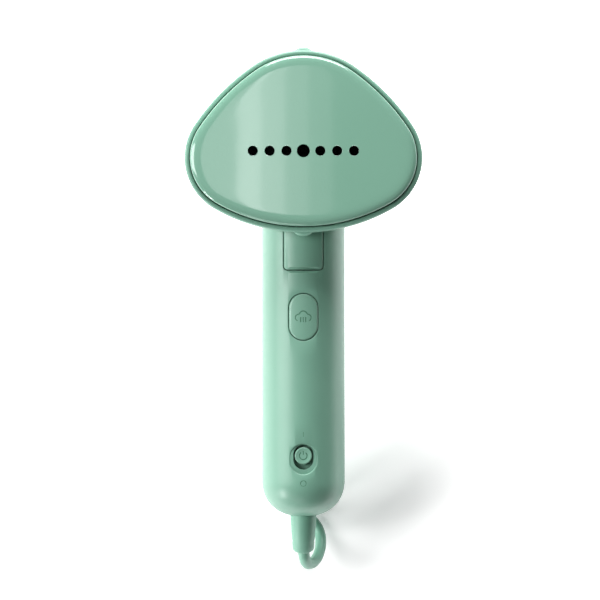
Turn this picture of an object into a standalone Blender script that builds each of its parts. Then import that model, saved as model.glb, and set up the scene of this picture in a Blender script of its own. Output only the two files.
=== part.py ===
"""Hand-held garment steamer with a folding head, lying on its back with the steam plate up.

Metres, +Z up out of the steam plate, +Y from the handle to the top of the head, +X to the right.
The flat back of the water tank lies in the plane z = 0.
"""

import math

import bmesh
import bpy
from mathutils import Matrix, Vector

MM = 0.001

# Fits
GAP = 0.3 * MM
SHADOW_GAP = 0.4 * MM

# Head outline: four arcs a side, each tangent to the next
HEAD_WIDTH = 125.3 * MM
HEAD_BOTTOM_Y = 37.07 * MM
TOP_RADIUS = 47.4 * MM
CORNER_RADIUS = 30.8 * MM
TOP_ARC_END = math.radians(54.7)
SIDE_ARC_END = math.radians(34.2)
CORNER_ARC_END = math.radians(-60.5)
ARC_STEPS = (5, 4, 9, 5)

# Head levels, from the table up
BAY_FLOOR_Z = 38.0 * MM
HOUSING_FRONT_Z = 74.0 * MM
RIM_Z = 90.0 * MM
PLATE_FRONT_Z = 94.0 * MM
PLATE_THICKNESS = 6.3 * MM

# Head shells
WALL = 2.2 * MM
RIM_WIDTH = 2.6 * MM
BACK_SCALE = 0.74
BACK_BOTTOM_Y = 59.5 * MM
SHELF_TOP_Y = 74.0 * MM
SHELF_BACK_Z = 1.0 * MM
BACK_TOP_MARGIN = 50.0 * MM
BUMP_LENGTH = 9.5 * MM
BUMP_HEIGHT = 1.9 * MM
NECK_HOLE_REACH = 11.3 * MM

# (height, scale of the outline) up the rear housing's flare
HOUSING_FLARE = ((46.0 * MM, BACK_SCALE), (53.0 * MM, 0.775), (60.0 * MM, 0.855), (67.0 * MM, 0.945))

# (extra inset, drop below the front) round the bezel's and the plate's front edges
BEZEL_EDGE = ((0.0, 1.4 * MM), (0.5 * MM, 0.3 * MM), (1.3 * MM, 0.0))
PLATE_EDGE = ((0.0, 2.2 * MM), (0.7 * MM, 1.2 * MM), (2.2 * MM, 0.4 * MM), (4.5 * MM, 0.0))

# Steam outlets
HOLE_PITCH = 8.85 * MM
HOLE_RADIUS = 2.6 * MM
MIDDLE_HOLE_RADIUS = 3.4 * MM
HOLES_A_SIDE = 3
HOLES_Y = 79.6 * MM

# Handle
HANDLE_RADIUS = 22.4 * MM
HANDLE_Z = HOUSING_FRONT_Z - 0.6 * MM - HANDLE_RADIUS
HANDLE_WALL = 2.2 * MM
HANDLE_END_Y = -115.2 * MM
DOME_LENGTH = 20.5 * MM
DOME_POWER = 2.3
DOME_REACH = 0.985
DOME_STEPS = 8
HANDLE_SIDES = 40
END_EASE = 0.15 * MM

# Fold hinge
PIVOT_Y = 33.8 * MM
TONGUE_WIDTH = 21.0 * MM
TONGUE_DROP = 16.4 * MM
TONGUE_CORNER = 2.1 * MM
NECK_ROOT_Y = SHELF_TOP_Y - 6.5 * MM
NECK_STEP = 11.0 * MM
NECK_FLANGE = (30.0 * MM, 20.0 * MM)
PIN_RADIUS = 3.0 * MM
PIN_HEAD_RADIUS = 5.0 * MM
YOKE_THICKNESS = 2.2 * MM
SADDLE_CLEARANCE = 0.8 * MM
YOKE_BASE = 2.6 * MM
YOKE_CLEARANCE = 1.8 * MM
PIN_HEAD_HEIGHT = 1.6 * MM
CLIP_THICKNESS = 1.0 * MM

# Steam trigger
TRIGGER_Y = -7.6 * MM
TRIGGER_OPENING = (16.0 * MM, 25.5 * MM)
TRIGGER_TRAVEL = 2.0 * MM
TRIGGER_PROUD = 0.5 * MM
TRIGGER_SHOULDER = 16.4 * MM
TRIGGER_SKIRT = 1.5 * MM
SKIRT_THICKNESS = 1.6 * MM
PLUNGER_END = 11.6 * MM
SPRING_OFFSET = 8.6 * MM
SPRING_RADIUS = 2.2 * MM
SPRING_WIRE = 0.35 * MM
SPRING_TURNS = 3.5

# Power slider
SLIDER_Y = -81.5 * MM
SLIDER_RADIUS = 4.55 * MM
SLIDER_TRAVEL = 2.4 * MM
SLIDER_OPENING = (10.8 * MM, 13.3 * MM)
SLIDER_OPENING_Y = -82.2 * MM
DISH_SIZE = (14.4 * MM, 16.5 * MM)
DISH_Y = -83.3 * MM
DISH_DEPTH = 1.3 * MM
SLIDER_PLATE = 1.5 * MM
SLIDER_PLATE_WIDTH = 15.2 * MM
SLIDER_PLATE_DROP = 2.2 * MM
BUTTON_SUNK = 0.5 * MM

# Electrics in the handle
BOARD_TOP_Z = HANDLE_Z + 4.0 * MM
BOARD_THICKNESS = 1.6 * MM
BOARD_WIDTH = 28.0 * MM
MICROSWITCH = (6.0 * MM, 10.0 * MM, 4.4 * MM)
POWER_SWITCH = (10.0 * MM, 18.0 * MM, 7.0 * MM)
HANDLE_SCREWS_Y = (-36.0 * MM, -60.0 * MM)

# Screws
SCREW_RADIUS = 1.5 * MM
SCREW_HEAD_RADIUS = 2.8 * MM
SCREW_HEAD_HEIGHT = 1.9 * MM
BOSS_RADIUS = 3.6 * MM
HANDLE_SCREW_DEPTH = 6.5 * MM
HANDLE_SCREW_LENGTH = 24.0 * MM
HEAD_SCREW_LENGTH = 18.0 * MM

# Water tank
TANK_WALL = 2.0 * MM
TANK_POCKET_DEPTH = 2.5 * MM
TANK_RIM = 3.0 * MM
TANK_EDGE = 5.0 * MM
CAP_RADIUS = 11.0 * MM
CAP_THICKNESS = 2.6 * MM
CAP_Z = 18.0 * MM
CAP_SEAT_DEPTH = 3.4 * MM
VALVE_RADIUS = 4.0 * MM
VALVE_Z = 19.0 * MM
VALVE_SEAT_RADIUS = 6.6 * MM
VALVE_SEAT_LENGTH = 8.4 * MM
CAP_RECESS = CAP_RADIUS + 1.2 * MM
CAP_PLUG_RADIUS = 7.0 * MM
CAP_PIN_RADIUS = 0.65 * MM
FILLER_HOLE_RADIUS = 8.0 * MM

# Boiler
CHAMBER_MARGIN = 9.0 * MM
CHAMBER_WALL = 4.5 * MM
CHAMBER_BACK_Z = 68.0 * MM
GASKET_THICKNESS = 2.0 * MM
ELEMENT_RADIUS = 3.2 * MM
ELEMENT_Z = 63.5 * MM
ELEMENT_REACH = 22.0 * MM
ELEMENT_END_Y = 68.0 * MM
HEAD_SCREWS = ((-33.0 * MM, 86.0 * MM), (33.0 * MM, 86.0 * MM), (0.0, 121.0 * MM))
INLET_Y = 111.5 * MM
BRACKET_Z = 57.2 * MM
BRACKET_THICKNESS = 1.6 * MM
BRACKET_SCALE = 0.6
LABYRINTH_X = 16.0 * MM
LABYRINTH_THICKNESS = 3.0 * MM
THERMOSTAT = (8.0 * MM, 7.0 * MM)
FUSE = (2.0 * MM, 14.0 * MM)
PUMP_CENTRE = (0.0, 100.0 * MM, 49.0 * MM)
PUMP_SIZE = (26.0 * MM, 14.4 * MM, 14.4 * MM)
HOSE_RADIUS = 2.3 * MM

# Cord, its boot and its hank
CORD_DIAMETER = 6.1 * MM
WIRE_RADIUS = 0.9 * MM
BOOT_RADII = (7.15 * MM, 5.8 * MM)
BOOT_FLANGE = 1.8 * MM
CLAMP_THICKNESS = 1.9 * MM
TIE_THICKNESS = 0.8 * MM
TIE_WIDTH = 18.0 * MM
TIE_Y = -64.0 * MM
PLUG_BACK_Y = -72.5 * MM
PLUG_LENGTH = 21.0 * MM
PLUG_WIDTH = 16.4 * MM
PLUG_HEIGHT = 12.6 * MM
BLADE_SPACING = 11.2 * MM
BLADE_THICKNESS = 1.5 * MM
BLADE_WIDTH = 6.3 * MM
BLADE_LENGTH = 15.6 * MM
POCKET_HALF_WIDTH = 9.25 * MM
HANK_RINGS = 2
HANK_ROOM = HANDLE_Z - HANDLE_RADIUS - 2 * TIE_THICKNESS - 3 * GAP
HANK_LAYERS = int(HANK_ROOM / CORD_DIAMETER)
POCKET_FAR_Y = PLUG_BACK_Y + PLUG_LENGTH + GAP + BLADE_LENGTH + 3.9 * MM
HANK_ENDS_Y = (-116.5 * MM, POCKET_FAR_Y + HANK_RINGS * CORD_DIAMETER)

# Routes in millimetres, drawn for a handle axis this high
ROUTE_AXIS_Z = 51.0

BOOT_ROUTE = ((0, -109, 51), (0, -114, 51), (0, -121, 50.4), (0, -127.7, 48.8), (0, -132.5, 46.6))
CORD_ROUTE = (
    (0.0, -132.9, 46.4),
    (0.5, -138.0, 43.9),
    (1.8, -142.0, 38.0),
    (3.9, -143.2, 30.2),
    (6.3, -142.3, 22.4),
    (8.6, -139.2, 14.8),
    (9.9, -133.8, 8.6),
    (9.3, -127.6, 5.0),
    (6.3, -122.6, 3.9),
    (3.2, -119.5, 4.1),
)

PLASTIC = ("satin mint plastic", "9FC8B2", 0.42, 0.0)
PLATE_FINISH = ("glossy mint enamel", "A6CDB9", 0.16, 0.0)
TRIGGER_FINISH = ("trigger plastic", "7EA995", 0.35, 0.0)
SLIDER_FINISH = ("slider plastic", "8FBAA6", 0.35, 0.0)
RUBBER = ("mint flexible vinyl", "A7CEBB", 0.55, 0.0)
CORD_FINISH = ("mint cord sheath", "8FB8A4", 0.5, 0.0)
TANK_FINISH = ("clear smoked polymer", "B9D8CB", 0.12, 0.0)
STEEL = ("zinc plated steel", "B9BCBE", 0.3, 1.0)
CASTING = ("die cast aluminium", "A9ABAC", 0.5, 1.0)
BRASS = ("tinned brass", "C9B27A", 0.3, 1.0)
SILICONE = ("red oxide silicone", "B4503C", 0.6, 0.0)
CLEAR_HOSE = ("milky silicone hose", "E4E6E2", 0.45, 0.0)
DARK = ("black nylon", "26282A", 0.5, 0.0)
BOARD = ("green circuit board", "2F6B45", 0.45, 0.0)


# ---------------------------------------------------------------- scene and helpers

def clear_scene():
    for old in list(bpy.data.objects):
        bpy.data.objects.remove(old, do_unlink=True)


def new_collection(name):
    made = bpy.data.collections.new(name)
    bpy.context.scene.collection.children.link(made)
    return made


clear_scene()
PARTS = new_collection("garment_steamer")
CUTTERS = new_collection("cutters")
CUTTERS.hide_render = True


def linear(hex_colour):
    channels = [int(hex_colour[i:i + 2], 16) / 255 for i in (0, 2, 4)]
    return [c / 12.92 if c <= 0.04045 else ((c + 0.055) / 1.055) ** 2.4 for c in channels] + [1.0]


def material(finish):
    name, hex_colour, roughness, metallic = finish
    found = bpy.data.materials.get(name)
    if found:
        return found
    made = bpy.data.materials.new(name)
    made.use_nodes = True
    shader = made.node_tree.nodes["Principled BSDF"]
    shader.inputs["Base Color"].default_value = linear(hex_colour)
    shader.inputs["Roughness"].default_value = roughness
    shader.inputs["Metallic"].default_value = metallic
    return made


def place(name, data, finish=None):
    """Links a new object: a part when it has a finish, else a cutter."""
    made = bpy.data.objects.new(name, data)
    if finish:
        PARTS.objects.link(made)
        data.materials.append(material(finish))
        return made
    CUTTERS.objects.link(made)
    made.hide_render = True
    made.display_type = "WIRE"
    return made


def from_bmesh(name, bm, finish=None, smooth=True):
    mesh = bpy.data.meshes.new(name)
    bm.to_mesh(mesh)
    bm.free()
    if smooth:
        mesh.shade_smooth()
        mesh.set_sharp_from_angle(angle=math.radians(35))
    return place(name, mesh, finish)


def as_mesh(curve_object, name, finish=None):
    """Replaces a curve object by a closed mesh object with the same name."""
    bpy.context.view_layer.update()
    graph = bpy.context.evaluated_depsgraph_get()
    mesh = bpy.data.meshes.new_from_object(curve_object.evaluated_get(graph))
    bm = bmesh.new()
    bm.from_mesh(mesh)
    bmesh.ops.remove_doubles(bm, verts=bm.verts, dist=1e-6)
    bmesh.ops.recalc_face_normals(bm, faces=bm.faces)
    bmesh.ops.transform(bm, matrix=curve_object.matrix_world, verts=bm.verts)
    curve = curve_object.data
    bpy.data.objects.remove(curve_object)
    bpy.data.curves.remove(curve)
    bpy.data.meshes.remove(mesh)
    return from_bmesh(name, bm, finish)


def extruded(name, outlines, low, high, axis="Z", finish=None):
    """A flat outline with holes, extruded from low to high along an axis.

    The outline's two coordinates are X, Y for axis Z; Y, Z for axis X; and X, Z for axis Y.
    """
    curve = bpy.data.curves.new(name, "CURVE")
    curve.dimensions = "2D"
    curve.fill_mode = "BOTH"
    curve.extrude = (high - low) / 2
    for outline in outlines:
        spline = curve.splines.new("POLY")
        spline.points.add(len(outline) - 1)
        for point, (u, v) in zip(spline.points, outline):
            point.co = (u, v, 0, 1)
        spline.use_cyclic_u = True
    guide = place(name + "_outline", curve)
    middle = (low + high) / 2
    if axis == "Z":
        guide.matrix_world = Matrix.Translation((0, 0, middle))
    elif axis == "X":
        turn = Matrix(((0, 0, 1, 0), (1, 0, 0, 0), (0, 1, 0, 0), (0, 0, 0, 1)))
        guide.matrix_world = Matrix.Translation((middle, 0, 0)) @ turn
    else:
        turn = Matrix(((1, 0, 0, 0), (0, 0, -1, 0), (0, 1, 0, 0), (0, 0, 0, 1)))
        guide.matrix_world = Matrix.Translation((0, middle, 0)) @ turn
    return as_mesh(guide, name, finish)


AXIS_TURN = {
    "X": Matrix.Rotation(math.radians(90), 4, "Y"),
    "Y": Matrix.Rotation(math.radians(-90), 4, "X"),
    "Z": Matrix.Identity(4),
}


def cylinder(name, radius, start, length, axis="Z", finish=None, sides=24, end_radius=None):
    """A cylinder or cone from start, growing along the axis."""
    bm = bmesh.new()
    bmesh.ops.create_cone(
        bm,
        cap_ends=True,
        segments=sides,
        radius1=radius,
        radius2=radius if end_radius is None else end_radius,
        depth=length,
        matrix=AXIS_TURN[axis] @ Matrix.Translation((0, 0, length / 2)),
    )
    made = from_bmesh(name, bm, finish)
    made.location = start
    return made


def box(name, low, high, finish=None, rounding=0.0):
    bm = bmesh.new()
    size = Vector(high) - Vector(low)
    bmesh.ops.create_cube(bm, size=1.0, matrix=Matrix.Diagonal((*size, 1)))
    made = from_bmesh(name, bm, finish, smooth=False)
    made.location = (Vector(low) + Vector(high)) / 2
    if rounding:
        bevel(made, rounding)
    return made


def bevel(thing, width, segments=2, angle=35):
    made = thing.modifiers.new("rounded edges", "BEVEL")
    made.width = width
    made.segments = segments
    made.limit_method = "ANGLE"
    made.angle_limit = math.radians(angle)


def boolean(thing, other, operation):
    made = thing.modifiers.new(operation.lower() + " " + other.name, "BOOLEAN")
    made.operation = operation
    made.solver = "EXACT"
    made.object = other


def cut(thing, *cutters):
    for cutter in cutters:
        boolean(thing, cutter, "DIFFERENCE")


def join(thing, *others):
    for other in others:
        boolean(thing, other, "UNION")


def keep_within(thing, limit):
    boolean(thing, limit, "INTERSECT")


def turned(name, profile, finish=None, sides=32):
    """A profile of (radius, height) points, run down its outer side and turned about Z."""
    bm = bmesh.new()
    verts = [bm.verts.new((radius, 0, height)) for radius, height in profile]
    for first, second in zip(verts, verts[1:]):
        bm.edges.new((first, second))
    made = from_bmesh(name, bm, finish, smooth=False)
    screw = made.modifiers.new("turn", "SCREW")
    screw.axis = "Z"
    screw.steps = sides
    screw.render_steps = sides
    screw.use_merge_vertices = True
    screw.merge_threshold = 0.00001
    return made


def loft(name, rings, finish=None):
    """Closes a stack of equal rings of points, lowest first, into a solid."""
    bm = bmesh.new()
    levels = [[bm.verts.new(point) for point in ring] for ring in rings]
    count = len(rings[0])
    for lower, upper in zip(levels, levels[1:]):
        for i in range(count):
            j = (i + 1) % count
            bm.faces.new((lower[i], lower[j], upper[j], upper[i]))
    bm.faces.new(list(reversed(levels[0])))
    bm.faces.new(levels[-1])
    bmesh.ops.recalc_face_normals(bm, faces=bm.faces)
    return from_bmesh(name, bm, finish)


def wire(name, points, radius, finish, resolution=2, radii=None):
    """A tube along points, closed at both ends."""
    curve = bpy.data.curves.new(name, "CURVE")
    curve.dimensions = "3D"
    curve.bevel_depth = radius
    curve.bevel_resolution = resolution
    curve.use_fill_caps = True
    spline = curve.splines.new("POLY")
    spline.points.add(len(points) - 1)
    for i, (point, where) in enumerate(zip(spline.points, points)):
        point.co = (*where, 1)
        point.radius = radii[i] / radius if radii else 1.0
    return place(name, curve, finish)


def smooth_route(points, spacing):
    """Points about a spacing apart on a Catmull-Rom curve through a route's own points."""
    ends = [2 * points[0] - points[1], *points, 2 * points[-1] - points[-2]]
    route = []
    for a, b, c, d in zip(ends, ends[1:], ends[2:], ends[3:]):
        steps = max(1, round((c - b).length / spacing))
        for i in range(steps):
            t = i / steps
            route.append(0.5 * (
                2 * b + (c - a) * t + (2 * a - 5 * b + 4 * c - d) * t ** 2
                + (3 * b - 3 * c + d - a) * t ** 3
            ))
    return route + [points[-1]]


def millimetres(points):
    return [Vector(point) * MM for point in points]


def from_handle(points):
    """Route points in millimetres, their heights stretched to reach the handle's axis."""
    stretch = HANDLE_Z / (ROUTE_AXIS_Z * MM)
    return [Vector((x * MM, y * MM, z * MM * stretch)) for x, y, z in points]


def stadium(width, length, centre=(0.0, 0.0), steps=8):
    """An oblong with round ends, along its second coordinate."""
    radius = width / 2
    straight = max(length / 2 - radius, 0.0)
    points = []
    for end, start in ((1, 0), (-1, math.pi)):
        for i in range(steps + 1):
            angle = start + math.pi * i / steps
            across = centre[0] + radius * math.cos(angle)
            points.append((across, centre[1] + end * straight + radius * math.sin(angle)))
    return points


def rounded_rectangle(low, high, radius, steps=4):
    points = []
    corners = ((high[0], high[1], 0), (low[0], high[1], 90), (low[0], low[1], 180), (high[0], low[1], 270))
    for x, y, start in corners:
        middle = (x - math.copysign(radius, x - low[0] - 1e-9), y - math.copysign(radius, y - low[1] - 1e-9))
        for i in range(steps + 1):
            angle = math.radians(start + 90 * i / steps)
            points.append((middle[0] + radius * math.cos(angle), middle[1] + radius * math.sin(angle)))
    return points


def circle(radius, centre, sides=24):
    turns = [2 * math.pi * i / sides for i in range(sides)]
    return [(centre[0] + radius * math.cos(t), centre[1] + radius * math.sin(t)) for t in turns]


# ---------------------------------------------------------------- head outline

def outline_arcs():
    """Centre, radius, first and last angle of each arc down the right side, from the top."""
    sideways = HEAD_WIDTH / 2 - CORNER_RADIUS * (1 - math.cos(SIDE_ARC_END))
    sideways -= TOP_RADIUS * math.cos(TOP_ARC_END)
    side_radius = sideways / (math.cos(SIDE_ARC_END) - math.cos(TOP_ARC_END))
    angles = (math.pi / 2, TOP_ARC_END, SIDE_ARC_END, CORNER_ARC_END, -math.pi / 2)
    radii = [TOP_RADIUS, side_radius, CORNER_RADIUS]
    centre = Vector((0, 0))
    centres = [centre]
    for angle, radius, after in zip(angles[1:], radii, radii[1:]):
        centre = centre + (radius - after) * Vector((math.cos(angle), math.sin(angle)))
        centres.append(centre)
    bottom_radius = CORNER_RADIUS + centre.x / math.cos(CORNER_ARC_END)
    step = CORNER_RADIUS - bottom_radius
    centres.append(centre + step * Vector((math.cos(CORNER_ARC_END), math.sin(CORNER_ARC_END))))
    radii.append(bottom_radius)
    lift = Vector((0, HEAD_BOTTOM_Y + bottom_radius - centres[-1].y))
    return list(zip([c + lift for c in centres], radii, angles, angles[1:]))


def head_outline(inset=0.0):
    """The head's closed outline, anticlockwise from the top, moved inwards by an inset."""
    right = []
    for (centre, radius, first, last), steps in zip(outline_arcs(), ARC_STEPS):
        for i in range(steps):
            angle = first + (last - first) * i / steps
            reach = radius - inset
            right.append((centre.x + reach * math.cos(angle), centre.y + reach * math.sin(angle)))
    centre, radius = outline_arcs()[-1][:2]
    bottom = (0.0, centre.y - radius + inset)
    left = [(-x, y) for x, y in right[1:]]
    return [right[0], *left, bottom, *reversed(right[1:])]


def head_top_y():
    return max(y for _, y in head_outline())


def scaled_outline(scale, inset=0.0):
    """The outline shrunk towards the back body, whose lowest point is BACK_BOTTOM_Y."""
    share = (1 - scale) / (1 - BACK_SCALE)
    bottom = HEAD_BOTTOM_Y + share * (BACK_BOTTOM_Y - HEAD_BOTTOM_Y)
    inset = inset / scale
    return [(x * scale, bottom + (y - HEAD_BOTTOM_Y) * scale) for x, y in head_outline(inset)]


def ring(outline, height):
    return [(x, y, height) for x, y in outline]


# ---------------------------------------------------------------- head shells and plate

def make_bezel():
    levels = [(0.0, HOUSING_FRONT_Z + GAP), *((inset, RIM_Z - drop) for inset, drop in BEZEL_EDGE)]
    bezel = loft("bezel", [ring(head_outline(inset), z) for inset, z in levels], PLASTIC)
    for name, edge in (("top", head_top_y()), ("bottom", HEAD_BOTTOM_Y)):
        bump = cylinder(
            "bump_" + name, BUMP_LENGTH / 2, (0, edge, HOUSING_FRONT_Z + 3 * MM),
            RIM_Z - HOUSING_FRONT_Z - 5 * MM, sides=24)
        bump.scale = (1, 2 * BUMP_HEIGHT / BUMP_LENGTH, 1)
        join(bezel, bump)
    inner = head_outline(RIM_WIDTH)
    cut(bezel, extruded("bezel_inside", [inner], HOUSING_FRONT_Z - 5 * MM, RIM_Z + 5 * MM))
    return bezel


def housing_sections(inset, back_z):
    """Rings of the rear housing, from its back to its front edge."""
    shape = ((back_z, BACK_SCALE), *HOUSING_FLARE, (HOUSING_FRONT_Z, 1.0))
    return [ring(scaled_outline(scale, inset), z) for z, scale in shape]


def tank_bay(name, grow):
    return box(
        name,
        (-HEAD_WIDTH, SHELF_TOP_Y - grow, -50 * MM),
        (HEAD_WIDTH, head_top_y() + BACK_TOP_MARGIN, BAY_FLOOR_Z + grow))


def saddle(name, grow):
    """The round hollow under the head in which the handle's end turns."""
    half = HANDLE_RADIUS + SADDLE_CLEARANCE + grow
    start = (-half, PIVOT_Y, HANDLE_Z)
    return cylinder(name, half, start, 2 * half, "X", sides=48)


def make_rear_housing():
    housing = loft("rear_housing", housing_sections(0.0, SHELF_BACK_Z), PLASTIC)
    cut(housing, tank_bay("tank_bay", 0.0), saddle("saddle", 0.0))
    sections = housing_sections(WALL, SHELF_BACK_Z + WALL)
    above = [(x, y, z + 4 * MM) for x, y, z in sections[-1]]
    inside = loft("housing_inside", [*sections, above])
    cut(inside, tank_bay("bay_wall", WALL), saddle("saddle_wall", WALL))
    cut(housing, inside)
    slot = TONGUE_WIDTH / 2 + GAP
    neck_low = HANDLE_Z - TONGUE_DROP - GAP
    neck_high = (slot, NECK_ROOT_Y + 0.5 * MM, HANDLE_Z + NECK_HOLE_REACH)
    cut(housing, box("neck_hole", (-slot, PIVOT_Y, neck_low), neck_high))
    seat_start = (0, SHELF_TOP_Y - 5 * MM, VALVE_Z)
    cut(housing, cylinder("valve_hole", VALVE_RADIUS + 0.5 * MM, seat_start, 10 * MM, "Y"))
    for i, (x, y) in enumerate(HEAD_SCREWS):
        start = (x, y, BAY_FLOOR_Z - 2 * MM)
        cut(housing, cylinder(f"housing_screw_hole_{i}", SCREW_RADIUS + GAP, start, 8 * MM, sides=16))
    return housing


def steam_hole_places():
    """(x, radius) of each steam hole, left to right."""
    places = []
    for i in range(-HOLES_A_SIDE, HOLES_A_SIDE + 1):
        places.append((i * HOLE_PITCH, HOLE_RADIUS if i else MIDDLE_HOLE_RADIUS))
    return places


def make_steam_plate():
    inset = RIM_WIDTH + SHADOW_GAP
    back = PLATE_FRONT_Z - PLATE_THICKNESS
    levels = [(inset, back), *((inset + extra, PLATE_FRONT_Z - drop) for extra, drop in PLATE_EDGE)]
    plate = loft("steam_plate", [ring(head_outline(d), z) for d, z in levels], PLATE_FINISH)
    for i, (x, radius) in enumerate(steam_hole_places()):
        start = (x, HOLES_Y, back - 2 * MM)
        cut(plate, cylinder(f"steam_hole_{i}", radius, start, PLATE_THICKNESS + 4 * MM, sides=20))
    return plate


# ---------------------------------------------------------------- boiler and water path

def gasket_levels():
    top = PLATE_FRONT_Z - PLATE_THICKNESS - GAP
    return top - GASKET_THICKNESS, top


def make_gasket():
    low, high = gasket_levels()
    outer = head_outline(CHAMBER_MARGIN)
    inner = head_outline(CHAMBER_MARGIN + CHAMBER_WALL - 0.5 * MM)
    return extruded("plate_gasket", [outer, inner], low, high, finish=SILICONE)


def make_steam_chamber():
    top = gasket_levels()[0] - GAP
    outer = head_outline(CHAMBER_MARGIN)
    chamber = extruded("steam_chamber", [outer], CHAMBER_BACK_Z, top, finish=CASTING)
    inside = head_outline(CHAMBER_MARGIN + CHAMBER_WALL)
    cut(chamber, extruded("chamber_room", [inside], CHAMBER_BACK_Z + CHAMBER_WALL, top + 5 * MM))
    for side in (-1, 1):
        near, far = (side * LABYRINTH_X + offset * LABYRINTH_THICKNESS for offset in (-0.5, 0.5))
        low = (near, 56 * MM, CHAMBER_BACK_Z + CHAMBER_WALL - 1 * MM)
        high = (far, 98 * MM, top - 3 * MM)
        join(chamber, box(f"labyrinth_wall_{side + 1}", low, high))
    cut(chamber, saddle("chamber_saddle", WALL + 0.6 * MM))
    inlet = (0, INLET_Y, CHAMBER_BACK_Z - 2 * MM)
    cut(chamber, cylinder("water_inlet", 2.0 * MM, inlet, 12 * MM, sides=16))
    return chamber


def make_heating_element():
    bend_y = 90 * MM
    reach = ELEMENT_REACH
    low_y = ELEMENT_END_Y
    points = [
        Vector((-reach, low_y, ELEMENT_Z - 9 * MM)),
        Vector((-reach, low_y + 1 * MM, ELEMENT_Z - 3 * MM)),
        Vector((-reach, low_y + 4 * MM, ELEMENT_Z)),
    ]
    for i in range(13):
        angle = math.pi * (1 - i / 12)
        around = Vector((reach * math.cos(angle), bend_y + reach * math.sin(angle) * 0.6, ELEMENT_Z))
        points.append(around)
    points.extend(Vector((-p.x, p.y, p.z)) for p in reversed(points[:3]))
    return wire("heating_element", points, ELEMENT_RADIUS, STEEL, resolution=3)


def make_boiler_bracket():
    low = BRACKET_Z
    outline = [(x, y - 3 * MM) for x, y in scaled_outline(BRACKET_SCALE)]
    bracket = extruded("boiler_bracket", [outline], low, low + BRACKET_THICKNESS, finish=STEEL)
    for i, (x, y) in enumerate(HEAD_SCREWS):
        foot = BAY_FLOOR_Z + WALL + GAP
        post = cylinder(f"post_{i}", BOSS_RADIUS, (x, y, foot), CHAMBER_BACK_Z - GAP - foot, sides=20)
        join(bracket, post)
        cut(bracket, cylinder(f"post_bore_{i}", SCREW_RADIUS + GAP, (x, y, foot - 1 * MM), 22 * MM, sides=16))
    for i, x in enumerate((-ELEMENT_REACH, ELEMENT_REACH)):
        start = (x, ELEMENT_END_Y, low - 2 * MM)
        cut(bracket, cylinder(f"terminal_hole_{i}", ELEMENT_RADIUS + 2 * MM, start, 6 * MM, sides=16))
    cut(bracket, cylinder("feed_hole", 3.0 * MM, (0, INLET_Y, low - 2 * MM), 6 * MM, sides=16))
    return bracket


def make_thermal_parts():
    back = BRACKET_Z - GAP
    radius, height = THERMOSTAT
    cylinder("thermostat", radius, (-10 * MM, 84 * MM, back - height), height, finish=DARK)
    radius, length = FUSE
    start = (4 * MM, 76 * MM, back - radius - GAP / 2)
    cylinder("thermal_fuse", radius, start, length, "X", STEEL, sides=16)


def make_pump():
    centre = Vector(PUMP_CENTRE)
    half = Vector(PUMP_SIZE) / 2
    body = box("water_pump", centre - half, centre + half, DARK, rounding=1.2 * MM)
    nozzles = centre - Vector((20 * MM, 0, 0))
    join(body, cylinder("pump_nozzles", HOSE_RADIUS + GAP, nozzles, 40 * MM, "X", sides=16))


def make_hoses():
    intake = millimetres((
        (10.4, 67.5, 19), (14, 67.5, 19.6), (17.2, 67.8, 25), (17.6, 67.8, 33), (17.8, 69.2, 41),
        (18.4, 74, 45.6), (21.5, 82, 47.8), (24.6, 91, 48.8), (25.6, 96, 49), (23.6, 100, 49), (20.4, 100, 49)))
    wire("tank_hose", smooth_route(intake, 5 * MM), HOSE_RADIUS, CLEAR_HOSE, resolution=1)
    outlet = millimetres((
        (-20.5, 100, 49), (-24.2, 100.4, 49), (-25.6, 104.4, 49), (-21, 110, 49.2), (-12, 112.6, 49.8),
        (-4, 112.2, 51.5), (-0.3, 111.6, 55.4), (0, 111.5, 60), (0, 111.5, 67.6)))
    wire("boiler_hose", smooth_route(outlet, 5 * MM), HOSE_RADIUS, CLEAR_HOSE, resolution=1)


def make_valve_seat():
    """The cup under the shelf that takes the tank's spigot, with its side nozzle."""
    top = SHELF_TOP_Y - WALL - GAP
    low = top - VALVE_SEAT_LENGTH
    seat = cylinder("valve_seat", VALVE_SEAT_RADIUS, (0, low, VALVE_Z), VALVE_SEAT_LENGTH, "Y", DARK)
    nozzle = cylinder("seat_nozzle", 2.0 * MM, (3 * MM, 67.5 * MM, VALVE_Z), 6.6 * MM, "X", sides=16)
    join(seat, nozzle)
    bore = cylinder("seat_bore", VALVE_RADIUS + 1.2 * MM, (0, low + 2 * MM, VALVE_Z), 12 * MM, "Y")
    cut(seat, bore)
    return seat


# ---------------------------------------------------------------- water tank

def tank_solid(name, grow, front_z, finish=None):
    """The tank's outer form, or its inside when grow is minus the wall."""
    clear = TANK_EDGE + grow
    levels = (
        (-grow + clear * 0.9, -grow),
        (-grow + clear * 0.3, -grow + clear * 0.3),
        (-grow, -grow + clear),
        (-grow, front_z),
    )
    return loft(name, [ring(scaled_outline(BACK_SCALE, d), z) for d, z in levels], finish)


def cap_seat_y():
    return tank_top_y() - CAP_SEAT_DEPTH


def tank_top_y():
    return max(y for _, y in scaled_outline(BACK_SCALE))


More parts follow.
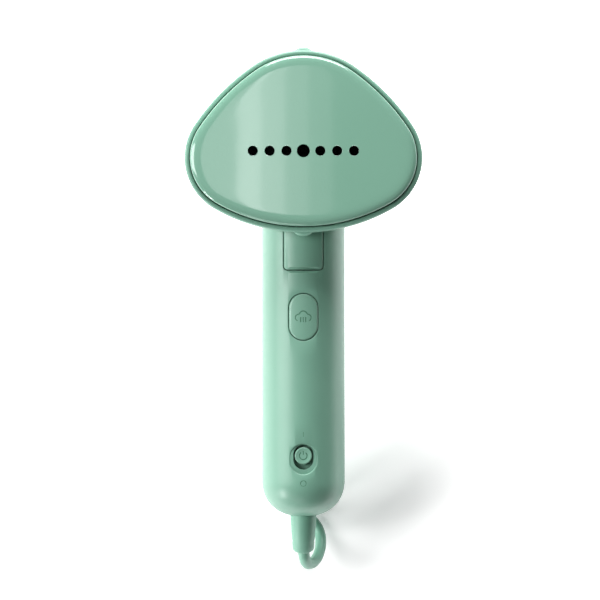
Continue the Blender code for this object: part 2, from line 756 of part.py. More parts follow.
def make_tank():
    front_z = BAY_FLOOR_Z - GAP
    pocket_z = front_z - TANK_POCKET_DEPTH
    tank = tank_solid("water_tank", 0.0, front_z, TANK_FINISH)
    pocket = scaled_outline(BACK_SCALE, TANK_RIM)
    cut(tank, extruded("screw_pocket", [pocket], pocket_z, front_z + 5 * MM))
    below = SHELF_TOP_Y + GAP
    side = HEAD_WIDTH
    cut(tank, box("under_tank", (-side, 0, -10 * MM), (side, below, 60 * MM)))
    recess_low = CAP_Z - CAP_RECESS - 2.5 * MM
    cut(tank, box(
        "cap_recess", (-CAP_RECESS, cap_seat_y(), recess_low),
        (CAP_RECESS, tank_top_y() + 10 * MM, CAP_Z + CAP_RECESS)))
    inside = tank_solid("tank_inside", -TANK_WALL, pocket_z - TANK_WALL)
    cut(inside, box("tank_floor", (-side, 0, -10 * MM), (side, below + TANK_WALL, 60 * MM)))
    ceiling = cap_seat_y() - TANK_WALL
    edge = CAP_RECESS + TANK_WALL
    cut(inside, box(
        "recess_walls", (-edge, ceiling, recess_low - TANK_WALL),
        (edge, tank_top_y() + 10 * MM, CAP_Z + edge)))
    cut(tank, inside)
    cut(tank, cylinder("filler_hole", FILLER_HOLE_RADIUS, (0, ceiling - 3 * MM, CAP_Z), 12 * MM, "Y"))
    cut(tank, cylinder("outlet_hole", VALVE_RADIUS + GAP, (0, below - 3 * MM, VALVE_Z), 9 * MM, "Y"))
    return tank


def make_tank_valve():
    """Spigot with a flange inside the tank and a through bore."""
    floor = SHELF_TOP_Y + GAP + TANK_WALL
    low = SHELF_TOP_Y - WALL - 5 * MM
    valve = cylinder("tank_valve", VALVE_RADIUS, (0, low, VALVE_Z), floor + 2 * MM - low, "Y", DARK)
    flange = cylinder("valve_flange", 7 * MM, (0, floor + GAP, VALVE_Z), 1.8 * MM, "Y")
    join(valve, flange)
    cut(valve, cylinder("valve_bore", 2.0 * MM, (0, low - 1 * MM, VALVE_Z), 20 * MM, "Y", sides=16))
    return valve


def make_valve_ring():
    """O-ring round the spigot, in the mouth of the seat."""
    bm = bmesh.new()
    steps = 24
    rings = 8
    section = 0.45 * MM
    reach = VALVE_RADIUS + 0.04 * MM + section
    profile = [bm.verts.new((
        reach + section * math.cos(2 * math.pi * i / rings), 0, section * math.sin(2 * math.pi * i / rings)))
        for i in range(rings)]
    edges = [bm.edges.new((profile[i], profile[(i + 1) % rings])) for i in range(rings)]
    bmesh.ops.spin(bm, geom=edges, cent=(0, 0, 0), axis=(0, 0, 1), angle=2 * math.pi, steps=steps)
    bmesh.ops.remove_doubles(bm, verts=bm.verts, dist=1e-6)
    bmesh.ops.recalc_face_normals(bm, faces=bm.faces)
    made = from_bmesh("valve_ring", bm, SILICONE)
    made.matrix_world = Matrix.Translation((0, SHELF_TOP_Y - 4.5 * MM, VALVE_Z)) @ AXIS_TURN["Y"]
    return made


def make_filler_cap():
    seat = cap_seat_y() + GAP
    hinge_z = CAP_Z - CAP_RADIUS - 1.2 * MM
    cap = cylinder("filler_cap", CAP_RADIUS, (0, seat, CAP_Z), CAP_THICKNESS, "Y", RUBBER, sides=32)
    wide = CAP_PLUG_RADIUS + 0.5 * MM
    plug = cylinder("cap_plug", CAP_PLUG_RADIUS, (0, seat - 3 * MM, CAP_Z), 4 * MM, "Y", end_radius=wide)
    arm = box("cap_arm", (-4 * MM, seat, hinge_z), (4 * MM, seat + CAP_THICKNESS, CAP_Z - 4 * MM))
    middle_y = seat + CAP_THICKNESS / 2
    barrel = cylinder("cap_barrel", CAP_THICKNESS / 2, (-4 * MM, middle_y, hinge_z), 8 * MM, "X", sides=16)
    join(cap, plug, arm, barrel)
    hole_radius = CAP_PIN_RADIUS + GAP / 2
    cut(cap, cylinder("cap_pin_hole", hole_radius, (-9 * MM, middle_y, hinge_z), 18 * MM, "X", sides=12))
    reach = CAP_RECESS - GAP
    cylinder("cap_pin", CAP_PIN_RADIUS, (-reach, middle_y, hinge_z), 2 * reach, "X", STEEL, sides=12)


# ---------------------------------------------------------------- neck and fold hinge

def make_neck():
    """The head's tongue: it turns between the handle's cheeks and ends flush in the handle's front."""
    low = PIVOT_Y - TONGUE_DROP
    root = NECK_ROOT_Y
    front = HANDLE_Z + HANDLE_RADIUS + 2 * MM
    step_y = HEAD_BOTTOM_Y + 1.3 * MM
    step_z = HANDLE_Z + NECK_STEP
    outline = [(root, HANDLE_Z - TONGUE_DROP), (root, step_z), (step_y, step_z), (step_y, front), (low, front)]
    for i in range(13):
        angle = math.pi + math.pi / 2 * i / 12
        outline.append((PIVOT_Y + TONGUE_DROP * math.cos(angle), HANDLE_Z + TONGUE_DROP * math.sin(angle)))
    half = TONGUE_WIDTH / 2
    neck = extruded("neck_tongue", [outline], -half, half, "X", PLASTIC)
    face = rounded_rectangle((-half, low), (half, 200 * MM), TONGUE_CORNER)
    keep_within(neck, extruded("tongue_face", [face], HANDLE_Z - 60 * MM, HANDLE_Z + 60 * MM))
    keep_within(neck, handle_round("tongue_surface", 0.0))
    flange_low = BACK_BOTTOM_Y + WALL + 2.6 * MM
    width, height = NECK_FLANGE
    middle_z = HANDLE_Z - 1 * MM
    flange = box(
        "neck_flange", (-width / 2, flange_low, middle_z - height / 2),
        (width / 2, root - 0.5 * MM, middle_z + height / 2))
    join(neck, flange)
    bore = cylinder("tongue_bore", PIN_RADIUS + GAP, (-20 * MM, PIVOT_Y, HANDLE_Z), 40 * MM, "X")
    cut(neck, bore)
    return neck


def handle_round(name, grow):
    length = 260 * MM
    return cylinder(name, HANDLE_RADIUS + grow, (0, -130 * MM, HANDLE_Z), length, "Y", sides=HANDLE_SIDES)


def make_yoke():
    """Bracket in the handle with the two ears that carry the hinge pin."""
    reach = HANDLE_RADIUS - HANDLE_WALL - GAP
    inner = TONGUE_WIDTH / 2 + SHADOW_GAP + GAP
    base_low = PIVOT_Y - TONGUE_DROP - YOKE_CLEARANCE - YOKE_BASE
    yoke = cylinder("hinge_yoke", reach, (0, base_low, HANDLE_Z), YOKE_BASE, "Y", STEEL, HANDLE_SIDES)
    half_height = math.sqrt(reach ** 2 - (inner + YOKE_THICKNESS) ** 2) - 0.4 * MM
    spread = math.asin(half_height / reach)
    for side in (-1, 1):
        ear = [(base_low + 1 * MM, -half_height), (base_low + 1 * MM, half_height)]
        for i in range(13):
            angle = spread - 2 * spread * i / 12
            ear.append((PIVOT_Y + reach * math.cos(angle), reach * math.sin(angle)))
        ear = [(y, z + HANDLE_Z) for y, z in ear]
        ends = sorted((side * inner, side * (inner + YOKE_THICKNESS)))
        join(yoke, extruded(f"ear_{side + 1}", [ear], *ends, "X"))
    cut(yoke, cylinder("yoke_bore", PIN_RADIUS + GAP, (-20 * MM, PIVOT_Y, HANDLE_Z), 40 * MM, "X"))
    cut(yoke, cylinder("wire_hole", 4.5 * MM, (0, base_low - 5 * MM, HANDLE_Z - 6 * MM), 12 * MM, "Y"))
    return yoke


def make_hinge_pin():
    outside = TONGUE_WIDTH / 2 + SHADOW_GAP + GAP + YOKE_THICKNESS + GAP
    pin = cylinder(
        "hinge_pin", PIN_RADIUS, (-outside - 2 * MM, PIVOT_Y, HANDLE_Z), 2 * outside + 4 * MM, "X", STEEL)
    head = cylinder("pin_head", PIN_HEAD_RADIUS, (outside, PIVOT_Y, HANDLE_Z), PIN_HEAD_HEIGHT, "X")
    join(pin, head)
    clip_start = (-outside - CLIP_THICKNESS, PIVOT_Y, HANDLE_Z)
    clip = cylinder("pin_clip", PIN_HEAD_RADIUS, clip_start, CLIP_THICKNESS, "X", STEEL)
    cut(clip, cylinder("clip_bore", PIN_RADIUS + GAP, (-30 * MM, PIVOT_Y, HANDLE_Z), 25 * MM, "X"))


# ---------------------------------------------------------------- handle shells

def handle_profile(radius, wall, top):
    """(radius, height) points down the handle from its top, ending in a dome below height 0."""
    length = DOME_LENGTH - wall
    points = [(0.0, top), (radius, top)]
    for i in range(DOME_STEPS + 1):
        share = math.sin(math.pi / 2 * i / DOME_STEPS) * DOME_REACH
        across = (1 - share ** DOME_POWER) ** (1 / DOME_POWER)
        points.append((radius * across, -length * share / DOME_REACH))
    points.append((0.0, -length))
    return points


def handle_solid(name, wall, finish=None):
    """The handle's whole round form; its top end is round about the hinge axis."""
    radius = HANDLE_RADIUS - wall
    end_radius = radius + END_EASE
    dome_start = HANDLE_END_Y + DOME_LENGTH
    top = PIVOT_Y + end_radius + 2 * MM - dome_start
    made = turned(name, handle_profile(radius, wall, top), finish, sides=HANDLE_SIDES)
    made.matrix_world = Matrix.Translation((0, dome_start, HANDLE_Z)) @ Matrix.Rotation(math.radians(-90), 4, "X")
    far = radius + 6 * MM
    corner = [(PIVOT_Y, -far), (PIVOT_Y + far, -far), (PIVOT_Y + far, far), (PIVOT_Y, far)]
    for i in range(17):
        angle = math.pi / 2 - math.pi * i / 16
        corner.append((PIVOT_Y + end_radius * math.cos(angle), end_radius * math.sin(angle)))
    corner = [(y, z + HANDLE_Z) for y, z in corner]
    cut(made, extruded(name + "_round_end", [corner], -far, far, "X"))
    return made


def hinge_slot(name, corner):
    half = TONGUE_WIDTH / 2 + SHADOW_GAP
    low = PIVOT_Y - TONGUE_DROP - SHADOW_GAP
    outline = rounded_rectangle((-half, low), (half, 200 * MM), corner)
    return extruded(name, [outline], HANDLE_Z - 60 * MM, HANDLE_Z + 60 * MM)


def make_handle_shell(name, side):
    """One half of the handle: side 1 is the front, above the middle plane, and -1 the back."""
    shell = handle_solid(name, 0.0, PLASTIC)
    corner = TONGUE_CORNER + SHADOW_GAP if side > 0 else SHADOW_GAP / 2
    cut(shell, hinge_slot(name + "_slot", corner))
    near = HANDLE_Z + side * GAP / 2
    ends = sorted((near, HANDLE_Z - side * 60 * MM))
    cut(shell, box(name + "_other_half", (-60 * MM, -200 * MM, ends[0]), (60 * MM, 200 * MM, ends[1])))
    cut(shell, handle_solid(name + "_inside", HANDLE_WALL))
    boot_start = (0, HANDLE_END_Y - 5 * MM, HANDLE_Z)
    cut(shell, cylinder(name + "_boot_hole", BOOT_RADII[0] + GAP, boot_start, 12 * MM, "Y"))
    wall_z = HANDLE_Z + side * (HANDLE_RADIUS - HANDLE_WALL / 2)
    low, high = sorted((near, wall_z))
    for i, y in enumerate(HANDLE_SCREWS_Y):
        join(shell, cylinder(f"{name}_boss_{i}", BOSS_RADIUS, (0, y, low), high - low, sides=20))
    return shell


def make_handle_front():
    shell = make_handle_shell("handle_front", 1)
    low = HANDLE_Z + HANDLE_RADIUS / 2
    high = HANDLE_Z + HANDLE_RADIUS + 5 * MM
    trigger = stadium(*TRIGGER_OPENING, (0, TRIGGER_Y))
    cut(shell, extruded("trigger_opening", [trigger], low, high))
    dish = stadium(*DISH_SIZE, (0, DISH_Y))
    cut(shell, extruded("slider_dish", [dish], HANDLE_Z + HANDLE_RADIUS - DISH_DEPTH, high))
    opening = stadium(*SLIDER_OPENING, (0, SLIDER_OPENING_Y))
    cut(shell, extruded("slider_opening", [opening], low, high))
    for i, y in enumerate(HANDLE_SCREWS_Y):
        start = (0, y, HANDLE_Z - 1 * MM)
        cut(shell, cylinder(f"front_bore_{i}", SCREW_RADIUS + GAP, start, 14 * MM, sides=16))
    return shell


def make_handle_back():
    shell = make_handle_shell("handle_back", -1)
    outside = HANDLE_Z - HANDLE_RADIUS - 1 * MM
    seat = HANDLE_Z - HANDLE_RADIUS + HANDLE_SCREW_DEPTH
    for i, y in enumerate(HANDLE_SCREWS_Y):
        cut(shell, cylinder(
            f"counterbore_{i}", SCREW_HEAD_RADIUS + GAP, (0, y, outside), seat - outside, sides=20))
        cut(shell, cylinder(
            f"back_bore_{i}", SCREW_RADIUS + GAP, (0, y, outside), 30 * MM, sides=16))
    return shell


def screw(name, seat, length):
    """A screw driven along +Z whose head's underside is at the seat."""
    low = (seat[0], seat[1], seat[2] - SCREW_HEAD_HEIGHT - GAP)
    made = cylinder(name, SCREW_HEAD_RADIUS, low, SCREW_HEAD_HEIGHT, finish=STEEL, sides=20)
    shank = (seat[0], seat[1], low[2] + SCREW_HEAD_HEIGHT / 2)
    join(made, cylinder(name + "_shank", SCREW_RADIUS, shank, length, sides=16))
    return made


def make_screws():
    seat_z = HANDLE_Z - HANDLE_RADIUS + HANDLE_SCREW_DEPTH
    for name, y in zip(("handle_screw_upper", "handle_screw_lower"), HANDLE_SCREWS_Y):
        screw(name, (0, y, seat_z), HANDLE_SCREW_LENGTH)
    for name, (x, y) in zip(("head_screw_left", "head_screw_right", "head_screw_top"), HEAD_SCREWS):
        screw(name, (x, y, BAY_FLOOR_Z), HEAD_SCREW_LENGTH)


# ---------------------------------------------------------------- trigger and slider

def make_trigger():
    width, length = (size - 2 * SHADOW_GAP for size in TRIGGER_OPENING)
    shoulder = HANDLE_Z + TRIGGER_SHOULDER
    top = HANDLE_Z + HANDLE_RADIUS + 3 * MM
    face = stadium(width, length, (0, TRIGGER_Y))
    trigger = extruded("steam_trigger", [face], shoulder - 1 * MM, top, finish=TRIGGER_FINISH)
    keep_within(trigger, handle_round("trigger_surface", TRIGGER_PROUD))
    skirt = stadium(width + 2 * TRIGGER_SKIRT, length + 2 * TRIGGER_SKIRT, (0, TRIGGER_Y))
    join(trigger, extruded("trigger_skirt", [skirt], shoulder - SKIRT_THICKNESS, shoulder))
    plunger = (0, TRIGGER_Y, HANDLE_Z + PLUNGER_END)
    join(trigger, cylinder("trigger_plunger", 2 * MM, plunger, 4 * MM, sides=16))
    return trigger


def spring(name, centre, low, high, radius, wire_radius, turns):
    """A compression spring along Z."""
    steps = 9
    count = int(turns * steps)
    points = []
    for i in range(count + 1):
        angle = 2 * math.pi * i / steps
        height = low + wire_radius + (high - low - 2 * wire_radius) * i / count
        points.append(Vector((
            centre[0] + radius * math.cos(angle), centre[1] + radius * math.sin(angle), height)))
    return wire(name, points, wire_radius, STEEL, resolution=1)


def make_trigger_springs():
    low = BOARD_TOP_Z + GAP
    high = HANDLE_Z + TRIGGER_SHOULDER - SKIRT_THICKNESS - GAP
    for name, side in (("trigger_spring_upper", 1), ("trigger_spring_lower", -1)):
        centre = (0, TRIGGER_Y + side * SPRING_OFFSET)
        spring(name, centre, low, high, SPRING_RADIUS, SPRING_WIRE, SPRING_TURNS)


def make_board():
    half = BOARD_WIDTH / 2
    outline = rounded_rectangle((-half, SLIDER_Y - 12 * MM), (half, TRIGGER_Y + 15.6 * MM), 3 * MM)
    holes = [circle(BOSS_RADIUS + GAP, (0, y), 20) for y in HANDLE_SCREWS_Y]
    return extruded(
        "circuit_board", [outline, *holes], BOARD_TOP_Z - BOARD_THICKNESS, BOARD_TOP_Z, finish=BOARD)


def make_switches():
    low = BOARD_TOP_Z + GAP
    switches = (("trigger_microswitch", TRIGGER_Y, MICROSWITCH), ("power_switch", SLIDER_Y, POWER_SWITCH))
    for name, y, (width, length, height) in switches:
        corner = (-width / 2, y - length / 2, low)
        far = (width / 2, y + length / 2, low + height)
        box(name, corner, far, DARK, rounding=0.5 * MM)


def make_slider():
    wall_inside = HANDLE_Z + HANDLE_RADIUS - HANDLE_WALL
    plate_top = wall_inside - SLIDER_PLATE_DROP
    reach = SLIDER_OPENING[1] / 2 + SLIDER_TRAVEL + 1.2 * MM
    half = SLIDER_PLATE_WIDTH / 2
    outline = rounded_rectangle((-half, SLIDER_Y - reach), (half, SLIDER_Y + reach), 2 * MM)
    plate_low = plate_top - SLIDER_PLATE
    slider = extruded("power_slider", [outline], plate_low, plate_top, finish=SLIDER_FINISH)
    start = (0, SLIDER_Y, plate_top - 1 * MM)
    button = cylinder(
        "slider_button", SLIDER_RADIUS, start, HANDLE_Z + HANDLE_RADIUS - BUTTON_SUNK - start[2], sides=28)
    lever = box(
        "slider_lever", (-1.5 * MM, SLIDER_Y - 2 * MM, BOARD_TOP_Z + POWER_SWITCH[2] + 0.8 * MM),
        (1.5 * MM, SLIDER_Y + 2 * MM, plate_top - 0.5 * MM))
    join(slider, button, lever)
    return slider


def make_wires():
    ends = {"wire_live": -2.2, "wire_neutral": 2.2}
    for name, x in ends.items():
        route = from_handle((
            (x, -105.2, 47.6), (x * 1.3, -102.5, 47.8), (x * 2.2, -99.5, 50), (x * 2.8, -97.4, 54),
            (x * 2.6, -96.2, 58), (x * 1.8, -93.6, 59.6), (x * 1.2, -90.9, 59.4)))
        wire(name, smooth_route(route, 2.5 * MM), WIRE_RADIUS, DARK, resolution=1)


# ---------------------------------------------------------------- cord

def make_boot():
    points = smooth_route(from_handle(BOOT_ROUTE), 4 * MM)
    count = len(points) - 1
    radii = []
    for i in range(count + 1):
        share = max(0.0, (i / count - 0.2) / 0.8)
        radii.append(BOOT_RADII[0] + (BOOT_RADII[1] - BOOT_RADII[0]) * share)
    boot = as_mesh(wire("cord_boot_guide", points, BOOT_RADII[0], RUBBER, 6, radii), "cord_boot", RUBBER)
    inside = HANDLE_END_Y + 4.4 * MM
    join(boot, cylinder("boot_flange", BOOT_RADII[0] + 2.2 * MM, (0, inside, HANDLE_Z), BOOT_FLANGE, "Y"))
    return boot


def make_cord_clamp():
    y = HANDLE_END_Y + 7.6 * MM
    clamp = box(
        "cord_clamp", (-8 * MM, y, HANDLE_Z - 6.5 * MM), (8 * MM, y + CLAMP_THICKNESS, HANDLE_Z + 4 * MM), STEEL)
    hole = cylinder("clamp_wire_hole", 1.6 * MM, (0, y - 3 * MM, HANDLE_Z), 10 * MM, "Y", sides=12)
    cut(clamp, hole)
    return clamp


def make_cord():
    points = smooth_route(from_handle(CORD_ROUTE), 4 * MM)
    return wire("cord", points, CORD_DIAMETER / 2, CORD_FINISH, resolution=3)


def hank_half_width():
    return POCKET_HALF_WIDTH + HANK_RINGS * CORD_DIAMETER


def hank_levels():
    low = TIE_THICKNESS + GAP
    return low, low + HANK_LAYERS * CORD_DIAMETER


def make_hank():
    centre = (0, sum(HANK_ENDS_Y) / 2)
    length = HANK_ENDS_Y[1] - HANK_ENDS_Y[0]
    outer = stadium(2 * hank_half_width(), length, centre)
    wound = HANK_RINGS * CORD_DIAMETER
    inner = stadium(2 * POCKET_HALF_WIDTH, length - 2 * wound, centre)
    return extruded("cord_hank", [outer, inner], *hank_levels(), finish=CORD_FINISH)


def make_tie():
    half = hank_half_width() + GAP
    low, high = hank_levels()
    high = max(high, low + PLUG_HEIGHT)
    inner = rounded_rectangle((-half, low - GAP), (half, high + GAP), 0.35 * MM)
    thick = TIE_THICKNESS
    outer_low = (-half - thick, low - GAP - thick)
    outer_high = (half + thick, high + GAP + thick)
    outer = rounded_rectangle(outer_low, outer_high, 1.1 * MM)
    return extruded(
        "cord_tie", [outer, inner], TIE_Y - TIE_WIDTH / 2, TIE_Y + TIE_WIDTH / 2, "Y", DARK)


def make_plug():
    """Two-blade plug, tucked into the middle of the hank."""
    z = TIE_THICKNESS + GAP
    high_y = PLUG_BACK_Y + PLUG_LENGTH
    low = (-PLUG_WIDTH / 2, PLUG_BACK_Y, z)
    body = box("plug_body", low, (PLUG_WIDTH / 2, high_y, z + PLUG_HEIGHT), RUBBER, rounding=3 * MM)
    middle = z + PLUG_HEIGHT / 2
    for name, side in (("plug_blade_left", -1), ("plug_blade_right", 1)):
        near, far = sorted((side * BLADE_SPACING / 2, side * (BLADE_SPACING / 2 + BLADE_THICKNESS)))
        start = (near, high_y + GAP, middle - BLADE_WIDTH / 2)
        box(name, start, (far, start[1] + BLADE_LENGTH, middle + BLADE_WIDTH / 2), BRASS)
    return body


def main():
    make_bezel()
    make_rear_housing()
    make_steam_plate()
    make_gasket()
    make_steam_chamber()
    make_heating_element()
    make_boiler_bracket()
    make_thermal_parts()
    make_pump()
    make_hoses()
    make_valve_seat()
    make_tank()
    make_tank_valve()
    make_valve_ring()
    make_filler_cap()
    make_neck()
    make_yoke()
    make_hinge_pin()
    make_handle_front()
    make_handle_back()
    make_screws()
    make_trigger()
    make_trigger_springs()
    make_board()
    make_switches()
    make_slider()
    make_wires()
    make_boot()
    make_cord_clamp()
    make_cord()
    make_hank()
    make_tie()
    make_plug()
    bpy.context.view_layer.update()


main()
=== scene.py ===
import math

import bmesh
import bpy
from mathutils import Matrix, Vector


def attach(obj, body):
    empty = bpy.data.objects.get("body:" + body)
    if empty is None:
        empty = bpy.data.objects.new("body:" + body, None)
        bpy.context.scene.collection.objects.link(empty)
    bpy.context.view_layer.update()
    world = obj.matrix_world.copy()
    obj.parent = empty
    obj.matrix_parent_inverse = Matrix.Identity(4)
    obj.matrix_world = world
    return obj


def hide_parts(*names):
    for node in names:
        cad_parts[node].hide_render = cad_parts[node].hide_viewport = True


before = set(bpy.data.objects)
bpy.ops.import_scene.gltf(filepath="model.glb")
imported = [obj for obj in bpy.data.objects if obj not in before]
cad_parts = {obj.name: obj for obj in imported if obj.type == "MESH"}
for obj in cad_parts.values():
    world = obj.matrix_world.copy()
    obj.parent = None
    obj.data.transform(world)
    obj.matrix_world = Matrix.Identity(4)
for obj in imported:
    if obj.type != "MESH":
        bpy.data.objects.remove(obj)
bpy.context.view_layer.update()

MM = 0.001

# Head
HEAD_WIDTH = 125.2 * MM
HEAD_TOP_Y = 132.8 * MM
TOP_RADIUS = 47.4 * MM
CORNER_RADIUS = 30.8 * MM
ARC_ENDS = (90.0, 54.7, 34.2, -60.5, -90.0)
BAY_FLOOR_Z = 38.0 * MM
HOUSING_FRONT_Z = 74.0 * MM
HOUSING_WALL = 2.2 * MM
HANDLE_CLEARANCE = 0.8 * MM
BACK_SCALE = 0.74
BACK_BOTTOM_Y = 59.5 * MM
SHELF_TOP_Y = 74.0 * MM
BUMP_HALF = 4.75 * MM
BUMP_HEIGHT = 1.9 * MM
PLATE_CENTRE_Y = 84.0 * MM
HOLES_Y = 79.6 * MM
HOLE_PITCH = 8.85 * MM
HOLE_RADIUS = 2.6 * MM
MIDDLE_HOLE_RADIUS = 3.4 * MM
HEAD_SCREWS = ((-33.0 * MM, 86.0 * MM), (33.0 * MM, 86.0 * MM), (0.0, 121.0 * MM))
SCREW_HEAD_RADIUS = 2.8 * MM
SCREW_HEAD_HEIGHT = 1.9 * MM
SCREW_SHANK_RADIUS = 1.45 * MM
SCREW_HOLE_RADIUS = 1.8 * MM
SCREW_RECESS = 2.2 * MM

# Handle
HANDLE_RADIUS = 22.4 * MM
HANDLE_Z = 51.0 * MM
HANDLE_WALL = 2.2 * MM
HANDLE_END_Y = -115.2 * MM
DOME_LENGTH = 20.5 * MM
DOME_POWER = 2.3
PIVOT_Y = 33.8 * MM
TONGUE_WIDTH = 21.0 * MM
TONGUE_DROP = 16.4 * MM
TONGUE_CORNER = 2.1 * MM
PIN_RADIUS = 3.0 * MM
BARREL_RADIUS = 17.3 * MM
BARREL_WIDTH = 21.8 * MM
SHADOW_GAP = 0.4 * MM
TRIGGER_Y = -7.6 * MM
TRIGGER_OPENING = (16.0 * MM, 25.5 * MM)
SLIDER_Y = -81.5 * MM
SLIDER_RADIUS = 4.55 * MM
SLIDER_OPENING = (10.8 * MM, 13.3 * MM)
SLIDER_OPENING_Y = -82.2 * MM
DISH = (14.0 * MM, 16.1 * MM)
DISH_Y = -83.3 * MM
ON_MARK_Y = (-71.4 * MM, -68.8 * MM)
OFF_MARK_Y = -96.2 * MM
OFF_MARK_RADIUS = 1.5 * MM
MARK_GROOVE = 0.36 * MM
CLOUD_GROOVE = 0.40 * MM
HANDLE_SCREWS_Y = (-36.0 * MM, -60.0 * MM)

# Tank and filler cap
TANK_WALL = 2.0 * MM
TANK_EDGE_RADIUS = 5.0 * MM
TANK_FRONT_Z = 37.7 * MM
TANK_GAP = 0.3 * MM
CAP_RADIUS = 11.0 * MM
CAP_THICKNESS = 2.6 * MM
CAP_Z = 18.0 * MM
CAP_SEAT_DEPTH = 3.4 * MM
VALVE_RADIUS = 4.0 * MM
VALVE_Z = 19.0 * MM

# Cord
CORD_DIAMETER = 6.1 * MM
BOOT_RADII = (7.15 * MM, 5.8 * MM)
BOOT_ROUTE = ((0, -109, 51), (0, -114, 51), (0, -121, 50.4), (0, -127.7, 48.8), (0, -132.5, 46.6))
CORD_ROUTE = (
    (0.0, -131.6, 46.95), (0.1, -134.4, 45.9), (0.6, -138.0, 43.8), (1.8, -141.6, 38.2), (3.9, -142.9, 30.4),
    (6.3, -142.1, 22.6), (8.5, -139.1, 15.0), (9.7, -133.9, 8.8), (9.0, -127.8, 5.1), (6.2, -122.8, 4.2),
    (2.2, -119.4, 4.15), (-3.0, -116.7, 4.15), (-8.4, -113.0, 4.15),
)
PLUG_ROUTE = (
    (-11.9, -91.0, 4.3), (-9.9, -86.9, 4.7), (-6.4, -83.2, 5.5), (-2.9, -80.0, 6.4), (-0.7, -76.2, 7.1),
    (0.0, -72.9, 7.4), (0.0, -70.5, 7.4),
)
HANK_ENDS_Y = (-95.05 * MM, -40.95 * MM)
HANK_RADII = (18.4 * MM, 12.3 * MM)
HANK_FLOOR = 1.1 * MM
TIE_Y = -64.0 * MM
TIE_HALF_WIDTH = 21.75 * MM
TIE_HEIGHTS = (0.8 * MM, 25.8 * MM)
PLUG_BACK_Y = -72.5 * MM
PLUG_MIDDLE = 6.3 * MM
PLUG_SQUARENESS = 0.55
BOOT_FLANGE = 2.2 * MM
BOOT_LIP = 0.9 * MM


# ---------------------------------------------------------------- camera

# A long lens straight above the steamer, which lies on its back.
camera_data = bpy.data.cameras.new("camera")
camera_data.sensor_width = 36.0
camera_data.lens = 161.0
camera = bpy.data.objects.new("camera", camera_data)
camera.location = (-0.0018, 0.0014, 1.5)
bpy.context.scene.collection.objects.link(camera)
bpy.context.scene.camera = camera
bpy.context.scene.view_settings.view_transform = "Standard"


# ---------------------------------------------------------------- materials

def linear(hex_colour):
    """An sRGB hex value as linear RGBA."""
    channels = [int(hex_colour[i:i + 2], 16) / 255 for i in (0, 2, 4)]
    return [c / 12.92 if c <= 0.04045 else ((c + 0.055) / 1.055) ** 2.4 for c in channels] + [1.0]


def add(tree, kind, inputs=None, **settings):
    """Adds a node with its settings, then its values and links by input name."""
    made = tree.nodes.new(kind)
    for key, value in settings.items():
        setattr(made, key, value)
    for key, value in (inputs or {}).items():
        if isinstance(value, bpy.types.NodeSocket):
            tree.links.new(value, made.inputs[key])
        else:
            made.inputs[key].default_value = value
    return made


def surface(name, colours, roughness, grain=None, cloud=25.0, edge_wear_and_highlight=None, **shader_values):
    """A Principled material on Object coordinates.

    colours are the lightest and darkest tone of the cloudy variation, cloud its size in mm; roughness is
    its lowest and highest value; grain is (size in mm, height in mm); the edge tone is a lighter colour
    along the edges, standing for rubbed wear and also a painted highlight.
    """
    made = bpy.data.materials.new(name)
    made.use_nodes = True
    tree = made.node_tree
    tree.nodes.clear()
    place = add(tree, "ShaderNodeTexCoord").outputs["Object"]
    clouds = add(tree, "ShaderNodeTexNoise", {"Vector": place, "Scale": 1 / (cloud * MM), "Detail": 3.0})
    tone = add(tree, "ShaderNodeMix", {"Factor": clouds.outputs[0]}, data_type="RGBA")
    tone.inputs[6].default_value = linear(colours[0])
    tone.inputs[7].default_value = linear(colours[1])
    colour = tone.outputs[2]
    fine = add(tree, "ShaderNodeTexNoise", {"Vector": place, "Scale": 1 / (3.0 * MM), "Detail": 5.0})
    gloss = add(tree, "ShaderNodeMapRange", {
        "Value": fine.outputs[0], "From Min": 0.3, "From Max": 0.7,
        "To Min": roughness[0], "To Max": roughness[1]})
    shader = add(tree, "ShaderNodeBsdfPrincipled", {"Roughness": gloss.outputs[0]})
    for key, value in shader_values.items():
        shader.inputs[key.replace("_", " ")].default_value = value
    # Lighter edges from a bevel mask: rubbed wear, and also a painted highlight along every edge.
    if edge_wear_and_highlight:
        bent = add(tree, "ShaderNodeBevel", {"Radius": 0.45 * MM}, samples=4)
        flat = add(tree, "ShaderNodeNewGeometry").outputs["Normal"]
        along = add(tree, "ShaderNodeVectorMath", {0: bent.outputs[0], 1: flat}, operation="DOT_PRODUCT")
        edge = add(tree, "ShaderNodeMapRange", {
            "Value": along.outputs["Value"], "From Min": 0.995, "From Max": 0.86, "To Max": 0.35})
        rubbed_and_highlit = add(tree, "ShaderNodeMix", {"Factor": edge.outputs[0]}, data_type="RGBA")
        tree.links.new(colour, rubbed_and_highlit.inputs[6])
        rubbed_and_highlit.inputs[7].default_value = linear(edge_wear_and_highlight)
        colour = rubbed_and_highlit.outputs[2]
    tree.links.new(colour, shader.inputs["Base Color"])
    if grain:
        size, height = grain
        pits = add(tree, "ShaderNodeTexNoise", {"Vector": place, "Scale": 1 / (size * MM), "Detail": 4.0})
        bump = add(tree, "ShaderNodeBump", {
            "Height": pits.outputs[0], "Distance": height * MM, "Strength": 1.0})
        tree.links.new(bump.outputs[0], shader.inputs["Normal"])
    out = add(tree, "ShaderNodeOutputMaterial")
    tree.links.new(shader.outputs[0], out.inputs["Surface"])
    return made


# Injection-moulded ABS from a finely spark-eroded tool: a satin skin whose grain only softens the highlights.
# Its lighter edge tone is rubbed wear and also a painted highlight along the edges.
MINT_ABS = surface(
    "mint_moulded_abs", ("6F9B88", "699582"), (0.34, 0.44), grain=(0.9, 0.010), edge_wear_and_highlight="8FBDA8", IOR=1.53)
